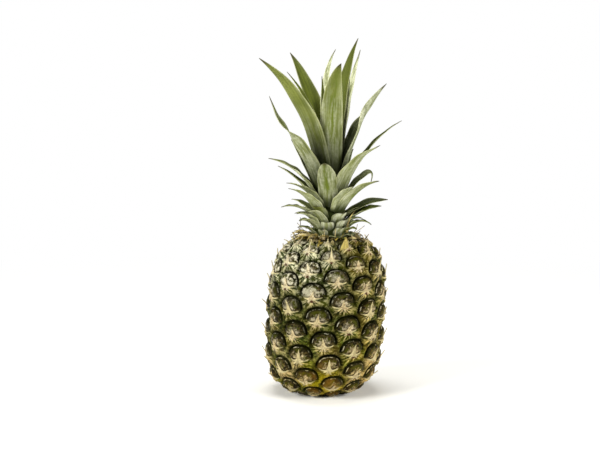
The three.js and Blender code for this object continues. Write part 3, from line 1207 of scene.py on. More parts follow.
@dataclass(frozen=True)
class Leaf:
    """One leaf. Angles in degrees; azimuth 0 faces -Y and 90 faces +X; lean is from upright."""

    azimuth: float
    seat: float
    length: float
    width: float
    lean: Pair
    side: float = 0.0
    ease: float = 1.4
    fullness: float = 1.5
    turn: float = 0.0
    twist: float = 0.0  # further roll, over the far half only
    cup: float = 48.0
    hook: Pair = (1.0, 0.0)
    kind: Blade = Blade.LONG
    stripe: float = 0.3  # how green the middle of the outer face is
    wax: float = 0.5  # how silvery both faces are
    # shade: how pale a leaf's colour is, partly its own tone and partly painted shade on leaves that others
    # shade
    shade: float = 0.5  # 0 darkest, 1 palest
    thickness: float = 1.7
    stand: float | None = None  # how far off the stem it grows, if not as its kind does

    def width_share(self, t: Array) -> Array:
        """Share of the full width along the length.

        Args:
            t: Shares of the length.

        Returns:
            Shares of the width.
        """
        if self.kind is Blade.SCALE:
            return (1 - t**2.3) ** 0.85
        if self.kind is Blade.HUMP:
            return (1 - t**3.6) ** 0.7
        if self.kind is Blade.BLUNT:
            return (0.86 + 0.28 * t) * (1 - t**6) ** 0.55
        if self.kind is Blade.SHRED:
            return (1 - t**1.6) * (1 - 0.3 * np.sin(t * 9) ** 2)
        if self.kind is Blade.SPIKE:
            return (1 - t) ** 0.8
        foot = 0.88 + 0.12 * np.sin(np.minimum(t / 0.3, 1) * math.pi / 2)
        taper = 1 - np.maximum((t - 0.3) / 0.7, 0) ** self.fullness
        return np.where(t < 0.3, foot, taper)

    def axes(self, t: Array) -> tuple[Array, Array, Array]:
        """Directions along, across and out of the blade at shares t of its length.

        Args:
            t: Shares of the length.

        Returns:
            The three directions, one row each.
        """
        start, angle = self.hook
        hook = angle * smoothstep(t, start, start + 0.14)
        lean = np.radians(self.lean[0] + (self.lean[1] - self.lean[0]) * t**self.ease + hook)
        heading = np.radians(self.azimuth + self.side * t * t)
        along = np.stack([np.sin(lean) * np.sin(heading), -np.sin(lean) * np.cos(heading), np.cos(lean)], -1)
        sideways = np.stack([np.cos(heading), np.sin(heading), np.zeros_like(t)], -1)
        outward = np.cross(sideways, along)
        roll = np.radians(self.turn) * t**0.7 + np.radians(self.twist) * smoothstep(t, 0.52, 0.78)
        roll = roll[..., None]
        turned = sideways * np.cos(roll) - outward * np.sin(roll)
        return along, turned, outward * np.cos(roll) + sideways * np.sin(roll)


LEAVES = (
    Leaf(-40, 78, 87, 11, (4, 5), wax=0.1, shade=0.0),
    Leaf(-165, 68, 137, 13, (7, 46), side=-52, ease=1.2, wax=5.0, shade=1.0),
    Leaf(152, 62, 150, 19, (6, 38), side=-8, fullness=1.9, wax=0.3, shade=0.6),
    Leaf(-120, 64, 115, 14, (5, 47), wax=0.4, shade=0.3),
    Leaf(134, 58, 137, 15, (8, 23), ease=1.2, turn=10, wax=5.0, shade=1.0),
    Leaf(-148, 56, 152, 23, (4, 52), ease=1.0, fullness=2.3, wax=0.15, shade=0.45),
    Leaf(6, 50, 147, 26, (2, 70), ease=2.4, fullness=2.2, side=8, stripe=1.0, wax=0.55, shade=0.5),
    Leaf(97, 49, 119, 28, (14, 42), ease=1.8, fullness=2.2, turn=20, twist=-50, cup=74, wax=1.2, shade=0.0),
    Leaf(-56, 47, 161, 28, (2, 57), turn=20, ease=1.1, fullness=1.8, wax=0.4, shade=0.5),
    Leaf(166, 42, 100, 19, (12, 40), shade=0.3),
    Leaf(108, 41, 104, 13, (26, 65), ease=1.6, wax=0.3, shade=0.4),
    Leaf(-119, 40, 68, 14, (27, 34), wax=0.2, shade=0.1),
    Leaf(-52, 39, 127, 24, (13, 58), 0, 0.9, 1.4, turn=14, twist=-64, hook=(0.74, -32), wax=0.8, shade=0.2),
    Leaf(-169, 37, 96, 20, (16, 50), shade=0.3),
    Leaf(51, 36, 84, 28, (17, 76), ease=1.5, hook=(0.86, -14), wax=1.0, shade=0.65),
    Leaf(-80, 36, 72, 20, (24, 81), turn=-16, wax=1.2, shade=0.5),
    Leaf(150, 34, 66, 18, (20, 56), shade=0.2),
    Leaf(-8, 33, 57.5, 21.5, (16, 60), ease=1.8, fullness=3.0, stripe=1.0, wax=0.8, shade=0.35),
    Leaf(-148, 32, 60, 17, (26, 66), shade=0.3),
    Leaf(104, 33, 58, 11, (23, 75), hook=(0.74, 118), turn=26, ease=1.2, fullness=5.0, wax=0.9, shade=0.2),
    Leaf(-102, 31, 60, 17, (26, 66), ease=1.1, wax=0.4, shade=0.4),
    Leaf(-58, 31, 50, 20, (26, 84), ease=1.1, wax=0.6, shade=0.5),
    Leaf(34, 28, 42, 18, (24, 74), wax=1.0, shade=0.6),
    Leaf(170, 29, 62, 18, (30, 72), shade=0.3),
    Leaf(57, 26, 59, 23, (28, 77), ease=1.1, fullness=4.6, stripe=0.9, wax=0.65, shade=0.5),
    Leaf(-36, 19, 21, 17, (22, 62), ease=1.3, cup=52, kind=Blade.BLUNT, wax=0.55, shade=0.9),
    Leaf(-46, 23, 56, 20, (29, 80), ease=1.1, wax=0.7, shade=0.5),
    Leaf(-157, 24, 52, 17, (34, 80), shade=0.3),
    Leaf(95, 20, 50, 17, (49, 92), ease=1.3, turn=24, fullness=2.2, wax=0.2, shade=0.1),
    Leaf(36, 13, 18, 18.5, (16, 56), ease=1.4, cup=60, kind=Blade.BLUNT, wax=2.2, shade=0.9),
    Leaf(-73, 19, 42, 18, (40, 106), ease=1.3, wax=0.6, shade=0.4),
    Leaf(150, 20, 46, 17, (40, 88), shade=0.3),
    Leaf(-124, 18, 39, 16, (40, 90), shade=0.3),
    Leaf(80, 15, 43, 17, (46, 86), ease=1.3, turn=20, fullness=2.2, wax=0.3, shade=0.1),
    Leaf(-60, 13, 29, 16, (30, 98), ease=1.4, wax=0.8, shade=0.5),
    Leaf(76, 8.5, 31, 14, (42, 134), ease=1.6, wax=0.3, shade=0.3),
)


@dataclass
class Crown:
    """The stem and all that grows on it."""

    axis_x: float
    foot: float
    foot_radius: float = 17.0
    tip_radius: float = 3.5
    height: float = 86.0
    scale_count: int = 22
    low_count: int = 9
    front_scales: tuple[tuple[float, ...], ...] = (
        (2, 2.0, -1.6, 7.5, 10.0, 34.0, 66.0),
        (7, -23.0, 1.8, 12.0, 11.0, 22.0, 58.0),
        (10, 32.0, 2.0, 13.5, 13.5, 20.0, 56.0),
        (15, -9.0, 8.0, 13.0, 15.0, 17.0, 52.0),
        (18, 46.0, 6.0, 17.0, 15.5, 14.0, 50.0),
    )  # place on the spiral, azimuth, seat, length, width and both leans of the blunt ones in front
    scale_seed: int = 7
    first_scale: float = -989.5  # degrees
    scale_turn: float = 137.5  # degrees from one to the next
    scale_rise: float = 0.76  # millimetres from one to the next
    long_grid: tuple[int, int] = (10, 26)
    scale_grid: tuple[int, int] = (8, 10)
    line_steps: int = 240
    margin: float = 0.5  # thickness at a leaf's edges
    tip: float = 0.6  # thickness at its tip
    least_width: float = 0.5
    lit_length: float = 33.0  # about how much of a leaf shows past its neighbours
    shaded_share: float = 0.66  # of the rest of it
    least_shaded: float = 4.0
    opening: float = 0.55  # how much flatter a trough is at its tip
    flute_height: float = 0.12
    stem_sides: int = 32
    stem_steps: int = 8
    stem_strap: float = 0.03  # the stem takes its look from the foot of a leaf
    scale_cup: float = 44
    front_cup: float = 58
    front_wax: float = 2.6
    sharp: float = 60.0

    def stem_radius(self, height: Array | float) -> Array:
        """The stem's radius at heights over its foot."""
        share = np.clip(np.asarray(height, float) / self.height, 0, 1)
        return self.foot_radius + (self.tip_radius - self.foot_radius) * share**0.9

    def centre_line(self, leaf: Leaf, t: Array) -> Array:
        """Places on a leaf's centre line at shares t of its length.

        Args:
            leaf: The leaf.
            t: Shares of its length.

        Returns:
            The places, one row each.
        """
        steps = self.line_steps
        middles = (np.arange(steps) + 0.5) / steps
        along = leaf.axes(middles)[0] * leaf.length / steps
        walked = np.concatenate([np.zeros((1, 3)), np.cumsum(along, axis=0)])
        stand = STANDS[leaf.kind] if leaf.stand is None else leaf.stand
        out = float(self.stem_radius(leaf.seat)) + stand
        azimuth = math.radians(leaf.azimuth)
        x, y = self.axis_x + out * math.sin(azimuth), -out * math.cos(azimuth)
        start = np.array([x, y, self.foot + leaf.seat])
        marks = np.linspace(0, 1, steps + 1)
        return start + np.stack([np.interp(t, marks, walked[:, i]) for i in range(3)], -1)

    def width_at(self, leaf: Leaf, t: Array) -> Array:
        """A leaf's width at shares t of its length."""
        return np.maximum(leaf.width * leaf.width_share(t), self.least_width)

    def foot_shade(self, leaf: Leaf, y: Array, t: Array) -> Array:
        """How much of a leaf stands in its neighbours' shade, at places across and along it.

        Args:
            leaf: The leaf.
            y: Places across it, -1 to 1.
            t: Places along it, 0 to 1.

        Returns:
            The shade, 0 to 1.
        """
        if leaf.kind is Blade.BLUNT:
            # Painted shade: the blunt scales darken low down and at their edges, where the scales below and
            # beside shade them.
            return np.maximum(smoothstep(t, 0.75, 0.2), 0.6 * smoothstep(np.abs(y), 0.8, 1.0))
        shaded = max(self.shaded_share * (leaf.length - self.lit_length), self.least_shaded)
        return smoothstep(t * leaf.length, shaded, 0.25 * shaded)

    def write_looks(self, mesh: Mesh, leaf: Leaf, y: Array, t: Array, drawn: float) -> None:
        """Writes what the finish reads.

        Args:
            mesh: The leaf's mesh.
            leaf: Its form.
            y: Places across it, -1 to 1.
            t: Places along it, 0 to 1.
            drawn: The leaf's own draw, 0 to 1.
        """
        width, foot = self.width_at(leaf, t), self.foot_shade(leaf, y, t)
        write_uv(mesh, "strap", np.stack([y / 2 + 0.5, t], -1))
        write_same(mesh, "draw", drawn, leaf.stripe)
        write_same(mesh, "look", leaf.wax, leaf.shade)
        write_uv(mesh, "lie", np.stack([0.5 + y * width / 2 / LEAF_SPAN, t * leaf.length / LEAF_SPAN], -1))
        write_uv(mesh, "foot", np.stack([foot, foot], -1))

    def thicken(self, sheet: Piece, leaf: Leaf, y: Array, t: Array) -> None:
        """Gives a leaf its thickness, least at its edges and its tip.

        Args:
            sheet: The leaf as a sheet.
            leaf: Its form.
            y: Places across it, -1 to 1.
            t: Places along it, 0 to 1.
        """
        middle = leaf.thickness + (min(self.tip, leaf.thickness) - leaf.thickness) * t
        full = self.margin + (middle - self.margin) * (1 - y**2)
        group = sheet.vertex_groups.new(name="thickness")
        for i, share in enumerate(full / leaf.thickness):
            group.add([i], float(np.clip(share, 0, 1)), "REPLACE")
        solidify(sheet, leaf.thickness, group="thickness")
        subdivide(sheet, 1)
        sheet.vertex_groups.clear()

    def blade(self, leaf: Leaf, name: str, materials: Sequence[Material], seed: int) -> Piece:
        """Models one leaf.

        Args:
            leaf: Its form.
            name: Its name.
            materials: The finish of its outer face and of its inner one.
            seed: Draws its small irregularities.

        Returns:
            The leaf, closed, with its place in its mesh.
        """
        sheet = new_sheet(*(self.long_grid if leaf.kind is Blade.LONG else self.scale_grid), materials)
        sheet.name = name
        sheet.data.name = name
        flat = corners_of(sheet.data)
        y, t = flat[:, 0], flat[:, 1] / 2 + 0.5
        draw = draw_from(seed)
        phase, waves, wave_size = 2 * math.pi * draw(), 2.0 + 2.5 * draw(), 0.25 + 0.5 * draw()
        self.write_looks(sheet.data, leaf, y, t, draw())
        _, sideways, outward = leaf.axes(t)
        curl = math.radians(leaf.cup) * (1 - self.opening * t)
        bend = self.width_at(leaf, t) / 2 / curl
        angle = y * curl
        ripple = wave_size * np.sin(phase + waves * 2 * math.pi * t) * np.abs(y) ** 3 * np.sin(math.pi * t)
        flute = self.flute_height * np.cos(y * 15) * (1 - np.abs(y)) * (1 - t)
        points = self.centre_line(leaf, t) + sideways * (bend * np.sin(angle))[:, None]
        points += outward * (-bend * (1 - np.cos(angle)) + ripple + flute)[:, None]
        move_corners(sheet.data, points * MM)
        self.thicken(sheet, leaf, y, t)
        smooth(sheet)
        return sheet

    def build_leaves(self, materials: Sequence[Material]) -> None:
        """Builds the long leaves, each a piece of its own."""
        for i, leaf in enumerate(LEAVES):
            piece = self.blade(leaf, f"blade_{i + 1:02d}", materials, LEAF_SEED + i)
            settle(piece, [f"leaf_{i + 1:02d}"])

    def scale_leaves(self) -> list[Leaf]:
        """The short leaves round the foot: a spiral of them, and a ring of still shorter ones.

        Returns:
            The spiral's leaves from the lowest up, then the ring's.
        """
        draw = draw_from(self.scale_seed)
        leaves = []
        for k in range(self.scale_count):
            share = k / self.scale_count
            azimuth = self.first_scale + self.scale_turn * k + (draw() - 0.5) * 6
            length = 9 + 20 * math.sqrt(share) + 4 * draw()
            lean = (40 - 14 * share, 104 + 16 * draw())
            leaf = Leaf(azimuth, 0.4 + self.scale_rise * k, length, 14.5 + 2 * share, lean, ease=1.5)
            looks = {"wax": 0.3 + 0.6 * draw(), "shade": 0.2 + 0.4 * draw()}
            leaves.append(replace(leaf, cup=self.scale_cup, kind=Blade.SCALE, **looks))
        for k in range(self.low_count):
            azimuth = 18 + 360 / self.low_count * k + (draw() - 0.5) * 14
            length, lean = 11 + 3 * draw(), (38, 108 + 20 * draw())
            leaf = Leaf(azimuth, -1.0 + 1.5 * draw(), length, 14.5, lean, cup=40, kind=Blade.HUMP)
            leaves.append(replace(leaf, wax=0.4 + 0.5 * draw(), shade=0.3))
        for k, azimuth, seat, length, width, first, last in self.front_scales:
            leaf = Leaf(azimuth, seat, length, width, (first, last), ease=1.5, cup=self.front_cup)
            leaves[int(k)] = replace(leaf, kind=Blade.BLUNT, wax=self.front_wax, shade=1.0)
        return leaves

    def build_stem(self, materials: Sequence[Material]) -> Piece:
        """Models the stem: a disc that is extruded and narrowed step by step.

        Args:
            materials: The finish of the outer faces and of the inner ones.

        Returns:
            The stem.
        """
        deselect_everything()
        bpy.ops.mesh.primitive_circle_add(
            vertices=self.stem_sides, radius=self.foot_radius * MM, fill_type="NGON", calc_uvs=False
        )
        stem = bpy.context.object
        stem.location = (self.axis_x * MM, 0.0, self.foot * MM)
        bpy.ops.object.transform_apply(location=True, rotation=False, scale=False)
        edit(stem)
        step = self.height / self.stem_steps
        for i in range(self.stem_steps):
            now, after = (float(self.stem_radius(self.height * k / self.stem_steps)) for k in (i, i + 1))
            bpy.ops.mesh.extrude_region_move(TRANSFORM_OT_translate={"value": (0, 0, step * MM)})
            share = after / now
            bpy.ops.transform.resize(value=(share, share, 1.0), center_override=(self.axis_x * MM, 0, 0))
        face_outwards()
        close_edit()
        for material in materials:
            stem.data.materials.append(material)
        flat = corners_of(stem.data)
        turn = np.arctan2(flat[:, 0] / MM - self.axis_x, -flat[:, 1] / MM) / (2 * math.pi) + 0.5
        up = (flat[:, 2] / MM - self.foot) / self.height
        around = np.stack([turn, up * self.stem_strap], -1)
        write_uv(stem.data, "strap", around)
        write_same(stem.data, "draw", 0.5, 0.0)
        write_uv(stem.data, "lie", around)
        # Painted shade: the stem gets the darkest look and full foot shade, as it stands in the leaves'
        # shade.
        write_same(stem.data, "look", 0.0, 0.0)
        write_same(stem.data, "foot", 1.0, 1.0)
        return stem

    def build_foot(self, materials: Sequence[Material]) -> None:
        """Builds the stem with its scale leaves, in one piece.

        Args:
            materials: The finish of the outer faces and of the inner ones.
        """
        pieces = [self.build_stem(materials)]
        for k, leaf in enumerate(self.scale_leaves()):
            pieces.append(self.blade(leaf, f"scale_{k:02d}", materials, SCALE_SEED + k))
        foot = join(pieces, "crown_foot")
        smooth(foot, self.sharp)
        settle(foot, ["crown_stem"])


def shred(*form: float | Pair, **changes: float) -> Leaf:
    """A dried strip.

    Args:
        *form: The first fields of a leaf, in their order, from its azimuth to its ease.
        **changes: What else differs from a plain pale strip.

    Returns:
        The strip.
    """
    return Leaf(*form, **({"cup": 50, "kind": Blade.SHRED, "thickness": 0.8, "shade": 1.0} | changes))


# Dried bits in front, each placed by itself: a pointed bract, a pale strip, hanging shreds, threads.
FRONT_BITS = (
    Leaf(21, -11, 18, 14, (4, 20), cup=50, kind=Blade.SPIKE, thickness=1.0, shade=1.0, wax=0.6, stand=24.5),
    Leaf(7, -3.4, 6.5, 17, (48, 84), cup=50, kind=Blade.HUMP, thickness=0.9, shade=0.9, wax=0.75, stand=1.0),
    shred(-66, 2.5, 27, 5.5, (46, 128), 12, 1.2, turn=26),
    shred(-54, 1.0, 24, 6.5, (50, 124), -22, 1.3, turn=-20),
    shred(-40, -0.5, 21, 7.0, (48, 132), 30, 1.3, turn=34),
    shred(-28, -2.0, 17, 7.5, (56, 120), -30, 1.2, turn=-30),
    shred(-80, -4.5, 7, 5.0, (30, 80), 0, 1.2, cup=40, stand=25),
    shred(-82, -3.0, 26, 1.2, (-34, 6), 0, 0.8, cup=30, thickness=0.7, shade=0.0, stand=18.5),
    shred(54, 7, 25, 4.5, (2, 44), 34, 1.3, turn=20, cup=40, shade=0.7, stand=6.0),
    shred(-74, -4.0, 13, 1.1, (-30, -22), 10, 1.0, cup=30, thickness=0.7, shade=0.0, stand=21),
)


@dataclass
class Collar:
    """Dried bits between the fruit and its crown: curled shreds, pointed bracts and threads."""

    crown: Crown
    shreds: int = 30
    front_shreds: int = 20
    spikes: int = 9
    threads: int = 14
    seed: int = 23

    def any_shred(self, k: int, draw: Callable[[], float]) -> Leaf:
        """A curled shred. The first ones stand all round and are dark, partly dried brown and partly painted
        shade under the crown; the others in front and pale.

        Args:
            k: Its number.
            draw: The random source.

        Returns:
            The shred.
        """
        front = k >= self.shreds
        azimuth = -80 + 72 * draw() if front else 360 * (k + draw()) / self.shreds
        length = (13 if front else 11) + 11 * draw()
        width = (5.0 if front else 3.5) + 4.5 * draw()
        lean = (40 + 34 * draw(), 92 + 50 * draw())
        seat, side, ease = -2.5 + 5 * draw(), (draw() - 0.5) * 90, 1.0 + draw()
        turn = (draw() - 0.5) * 120
        shade = 0.6 + 0.4 * draw() if front else 0.05 + 0.35 * draw()
        wax = 0.3 if front else draw()
        looks = {"cup": 60, "thickness": 0.7, "shade": shade, "wax": wax}
        return shred(azimuth, seat, length, width, lean, side, ease, turn=turn, **looks)

    def any_spike(self, k: int, draw: Callable[[], float]) -> Leaf:
        """A pointed dry bract that stands between the eyes and the crown.

        Args:
            k: Its number.
            draw: The random source.

        Returns:
            The bract.
        """
        azimuth = 40 + 360 * (k + 0.4 * draw()) / self.spikes
        seat, length, width = -9 - 2 * draw(), 13 + 4 * draw(), 9 + 3 * draw()
        lean = (22 + 14 * draw(), 30 + 10 * draw())
        leaf = Leaf(azimuth, seat, length, width, lean, cup=40, kind=Blade.SPIKE)
        return replace(leaf, thickness=1.0, shade=0.4 + 0.5 * draw(), wax=1.0)

    def any_thread(self, k: int, draw: Callable[[], float]) -> Leaf:
        """A thin dry thread.

        Args:
            k: Its number.
            draw: The random source.

        Returns:
            The thread.
        """
        azimuth = 360 * (k + draw()) / self.threads
        lean = (20 + 60 * draw(), -10 + 70 * draw())
        seat, length, side = -2 + 3 * draw(), 11 + 10 * draw(), (draw() - 0.5) * 70
        looks = {"cup": 30, "thickness": 0.6, "shade": 0.2 + 0.3 * draw()}
        return shred(azimuth, seat, length, 0.9, lean, side, 1.2, **looks)

    def strips(self) -> list[Leaf]:
        """Every dried bit, in the same terms as a leaf.

        Returns:
            The dried bits.
        """
        draw = draw_from(self.seed)
        shreds = [self.any_shred(k, draw) for k in range(self.shreds + self.front_shreds)]
        spikes = [self.any_spike(k, draw) for k in range(self.spikes)]
        threads = [self.any_thread(k, draw) for k in range(self.threads)]
        return [*shreds, *spikes, *threads, *FRONT_BITS]

    def build(self, material: Material) -> None:
        """Builds the collar, with its finish on both faces.

        Args:
            material: Its finish, on both faces.
        """
        pieces = []
        for k, strip in enumerate(self.strips()):
            pieces.append(self.crown.blade(strip, f"strip_{k:02d}", [material], STRIP_SEED + k))
        collar = join(pieces, "collar")
        smooth(collar, self.crown.sharp)
        settle(collar)


# ---- finishes ----


@dataclass(frozen=True)
class FibreGroup:
    """Fine lines that run the length of a blade, over broader ones."""

    fine_share: float = 0.6
    broad_share: float = 0.4
    broad_scale: float = 0.28  # how many broad lines there are for each fine one
    waver: float = 2.2

    def make_group(self) -> None:
        """Builds the node group that the leaves and the dried bits share."""
        inputs = {"Place": Socket.PLACE, "Lines": Socket.NUMBER}
        board, given = new_group("fibres", inputs, {"Streaks": Socket.NUMBER, "Lines": Socket.NUMBER})
        across, along, other = board.split(given["Place"])
        wide = across * given["Lines"]
        fine = board.noise(board.combine(wide, along * self.waver, other), 1.0, 2.0)
        broad = board.noise(board.combine(wide * self.broad_scale, along, other), 1.0, 2.0)
        both = fine * self.fine_share + broad * self.broad_share
        board.add("NodeGroupOutput", {"Streaks": board.rise(both, 0.36, 0.64), "Lines": fine})


@dataclass(frozen=True)
class WarmthGroup:
    """The foot is riper and warmer in colour; the right side is warmer too, and brighter in painted light.
    """

    low: Colour = (1.32, 1.15, 0.74)
    right: Colour = (1.30, 1.20, 1.00)
    low_band: Pair = (0.080, 0.010)  # heights in metres
    right_band: Pair = (0.012, 0.050)  # metres from the middle

    def make_group(self) -> None:
        """Builds the node group that the rind and the bracts share."""
        inputs = {"Colour": Socket.COLOUR, "Place": Socket.PLACE}
        board, given = new_group("warmth", inputs, {"Colour": Socket.COLOUR})
        x, _, z = board.split(given["Place"])
        warmed = board.mix(board.rise(z, *self.low_band), given["Colour"], self.low, "MULTIPLY")
        # Painted light, with warmth: the right side is lifted brighter as well as warmer.
        warmed = board.mix(board.rise(x, *self.right_band), warmed, self.right, "MULTIPLY")
        board.add("NodeGroupOutput", {"Colour": warmed})


@dataclass(frozen=True)
class SkirtFinish:
    """The green skin round the domes: fibres that fan out from the foot of each spine."""

    green: Colour = (0.004, 0.007, 0.0)
    olive: Colour = (0.030, 0.036, 0.0)
    drab: Colour = (0.060, 0.042, 0.002)
    fresh: Colour = (0.116, 0.175, 0.008)
    golden: Colour = (0.215, 0.185, 0.030)
    greyed: Colour = (0.200, 0.195, 0.070)
    pale: Colour = (0.62, 0.51, 0.23)
    dry: Colour = (0.36, 0.30, 0.19)
    yellow: Colour = (0.34, 0.29, 0.006)
    wax: Colour = (0.70, 0.68, 0.44)
    green_wax: Colour = (0.030, 0.043, 0.008)
    coarse_fibres: float = 4.6
    fine_fibres: float = 11.0
    greyed_band: Pair = (0.050, 0.120)  # heights in metres over which the fibres turn grey
    shoulder_height: Pair = (0.092, 0.132)  # where the wax starts, in metres
    shoulder_side: Pair = (0.030, -0.018)
    dry_height: Pair = (0.075, 0.020)  # where the foot turns dry, in metres
    dry_side: Pair = (0.012, 0.040)
    dry_middle: float = 0.004
    ripe_middle: tuple[float, float, float] = (0.002, -0.052, 0.018)
    ripe_reach: Pair = (0.034, 0.006)  # metres from the ripe spot's middle
    glow_reach: Pair = (0.036, 0.010)

    def fibres(self, board: NodeBoard, given: dict[str, Wire]) -> tuple[Wire, Wire]:
        """Coarse and fine fibres in one.

        Args:
            board: The group's board.
            given: What comes into the group.

        Returns:
            The distance from the spine's foot in millimetres, and the fibres' noise.
        """
        x, y, _ = board.split(given["Local"])
        out = board.combine(x, -0.5 - y)
        away = board.length(out)
        way = board.vector("NORMALIZE", out)
        waver = board.noise(given["Place"], 300.0, 2.0) * 1.4
        shift = board.combine(waver, 0.0, away * 0.14 + given["Draw"] * 50.0)
        coarse, fine = (board.rays(way, number, shift) for number in (self.coarse_fibres, self.fine_fibres))
        return away, coarse * 0.6 + fine * 0.4

    def make_group(self) -> None:
        """Builds the node group that the rind and the bracts share."""
        inputs = {"Local": Socket.PLACE, "Draw": Socket.NUMBER, "Place": Socket.PLACE}
        outputs = {"Colour": Socket.COLOUR} | dict.fromkeys(("Fibre", "Ripe", "Waxed"), Socket.NUMBER)
        board, given = new_group("skirt", inputs, outputs)
        place = given["Place"]
        x, _, z = board.split(place)
        away, both = self.fibres(board, given)
        fibre = board.rise(both, 0.43, 0.57)
        clouds = board.noise(place, 85.0, 4.0, 0.6)
        colour = board.mix(board.rise(clouds, 0.42, 0.60), self.green, self.olive)
        colour = board.mix(board.patches(place, 58.0, (0.46, 0.60)) * 0.6, colour, self.drab)
        # Fresh green, golden or grey fibres.
        lit = fibre * board.patches(place, 170.0, (0.40, 0.58), (0.25, 1.0), 4.0, 0.65)
        fresh = board.mix(board.patches(place, 52.0, (0.44, 0.56), rough=0.6), self.fresh, self.golden)
        fresh = board.mix(board.rise(z, *self.greyed_band), fresh, self.greyed)
        colour = board.mix(lit * 0.66, colour, fresh)
        # The boldest fibres are pale, most of all near the spine.
        bold = board.rise(both, 0.49, 0.60) * board.rise(away, 13.5, 3.0, 0.18, 1.0)
        bold *= board.rise(clouds, 0.34, 0.52)
        colour = board.mix(bold * 0.9, colour, self.pale)
        # Pale wax on the upper left shoulder, thin over green and thick on the fibres.
        shoulder = board.rise(z, *self.shoulder_height) * board.rise(x, *self.shoulder_side)
        veil = board.patches(place, 60.0, (0.38, 0.54), (0.15, 1.0), 4.0, 0.6) * shoulder
        colour = board.mix(veil, colour, board.mix(fibre * fibre, self.green_wax, self.wax))
        # The foot is dry to both sides.
        aside = board.rise(abs(x - self.dry_middle), *self.dry_side, 0.25, 1.0)
        dryness = board.rise(z, *self.dry_height) * aside
        dryness *= board.patches(place, 33.0, (0.44, 0.60), detail=2.0)
        colour = board.mix(dryness * (fibre * 0.8 + 0.15), colour, self.dry)
        # One spot low in front is ripe and yellow.
        gone = board.length(board.vector("SUBTRACT", place, self.ripe_middle))
        ripe = board.rise(gone, *self.ripe_reach) * board.rise(clouds, 0.34, 0.60, 0.2, 1.0)
        ripe *= board.rise(fibre, 0.0, 1.0, 0.55, 1.0)
        colour = board.mix(ripe * 0.75, colour, self.yellow)
        glow = board.rise(gone, *self.glow_reach)
        board.add("NodeGroupOutput", {"Colour": colour, "Fibre": fibre, "Ripe": glow, "Waxed": shoulder})


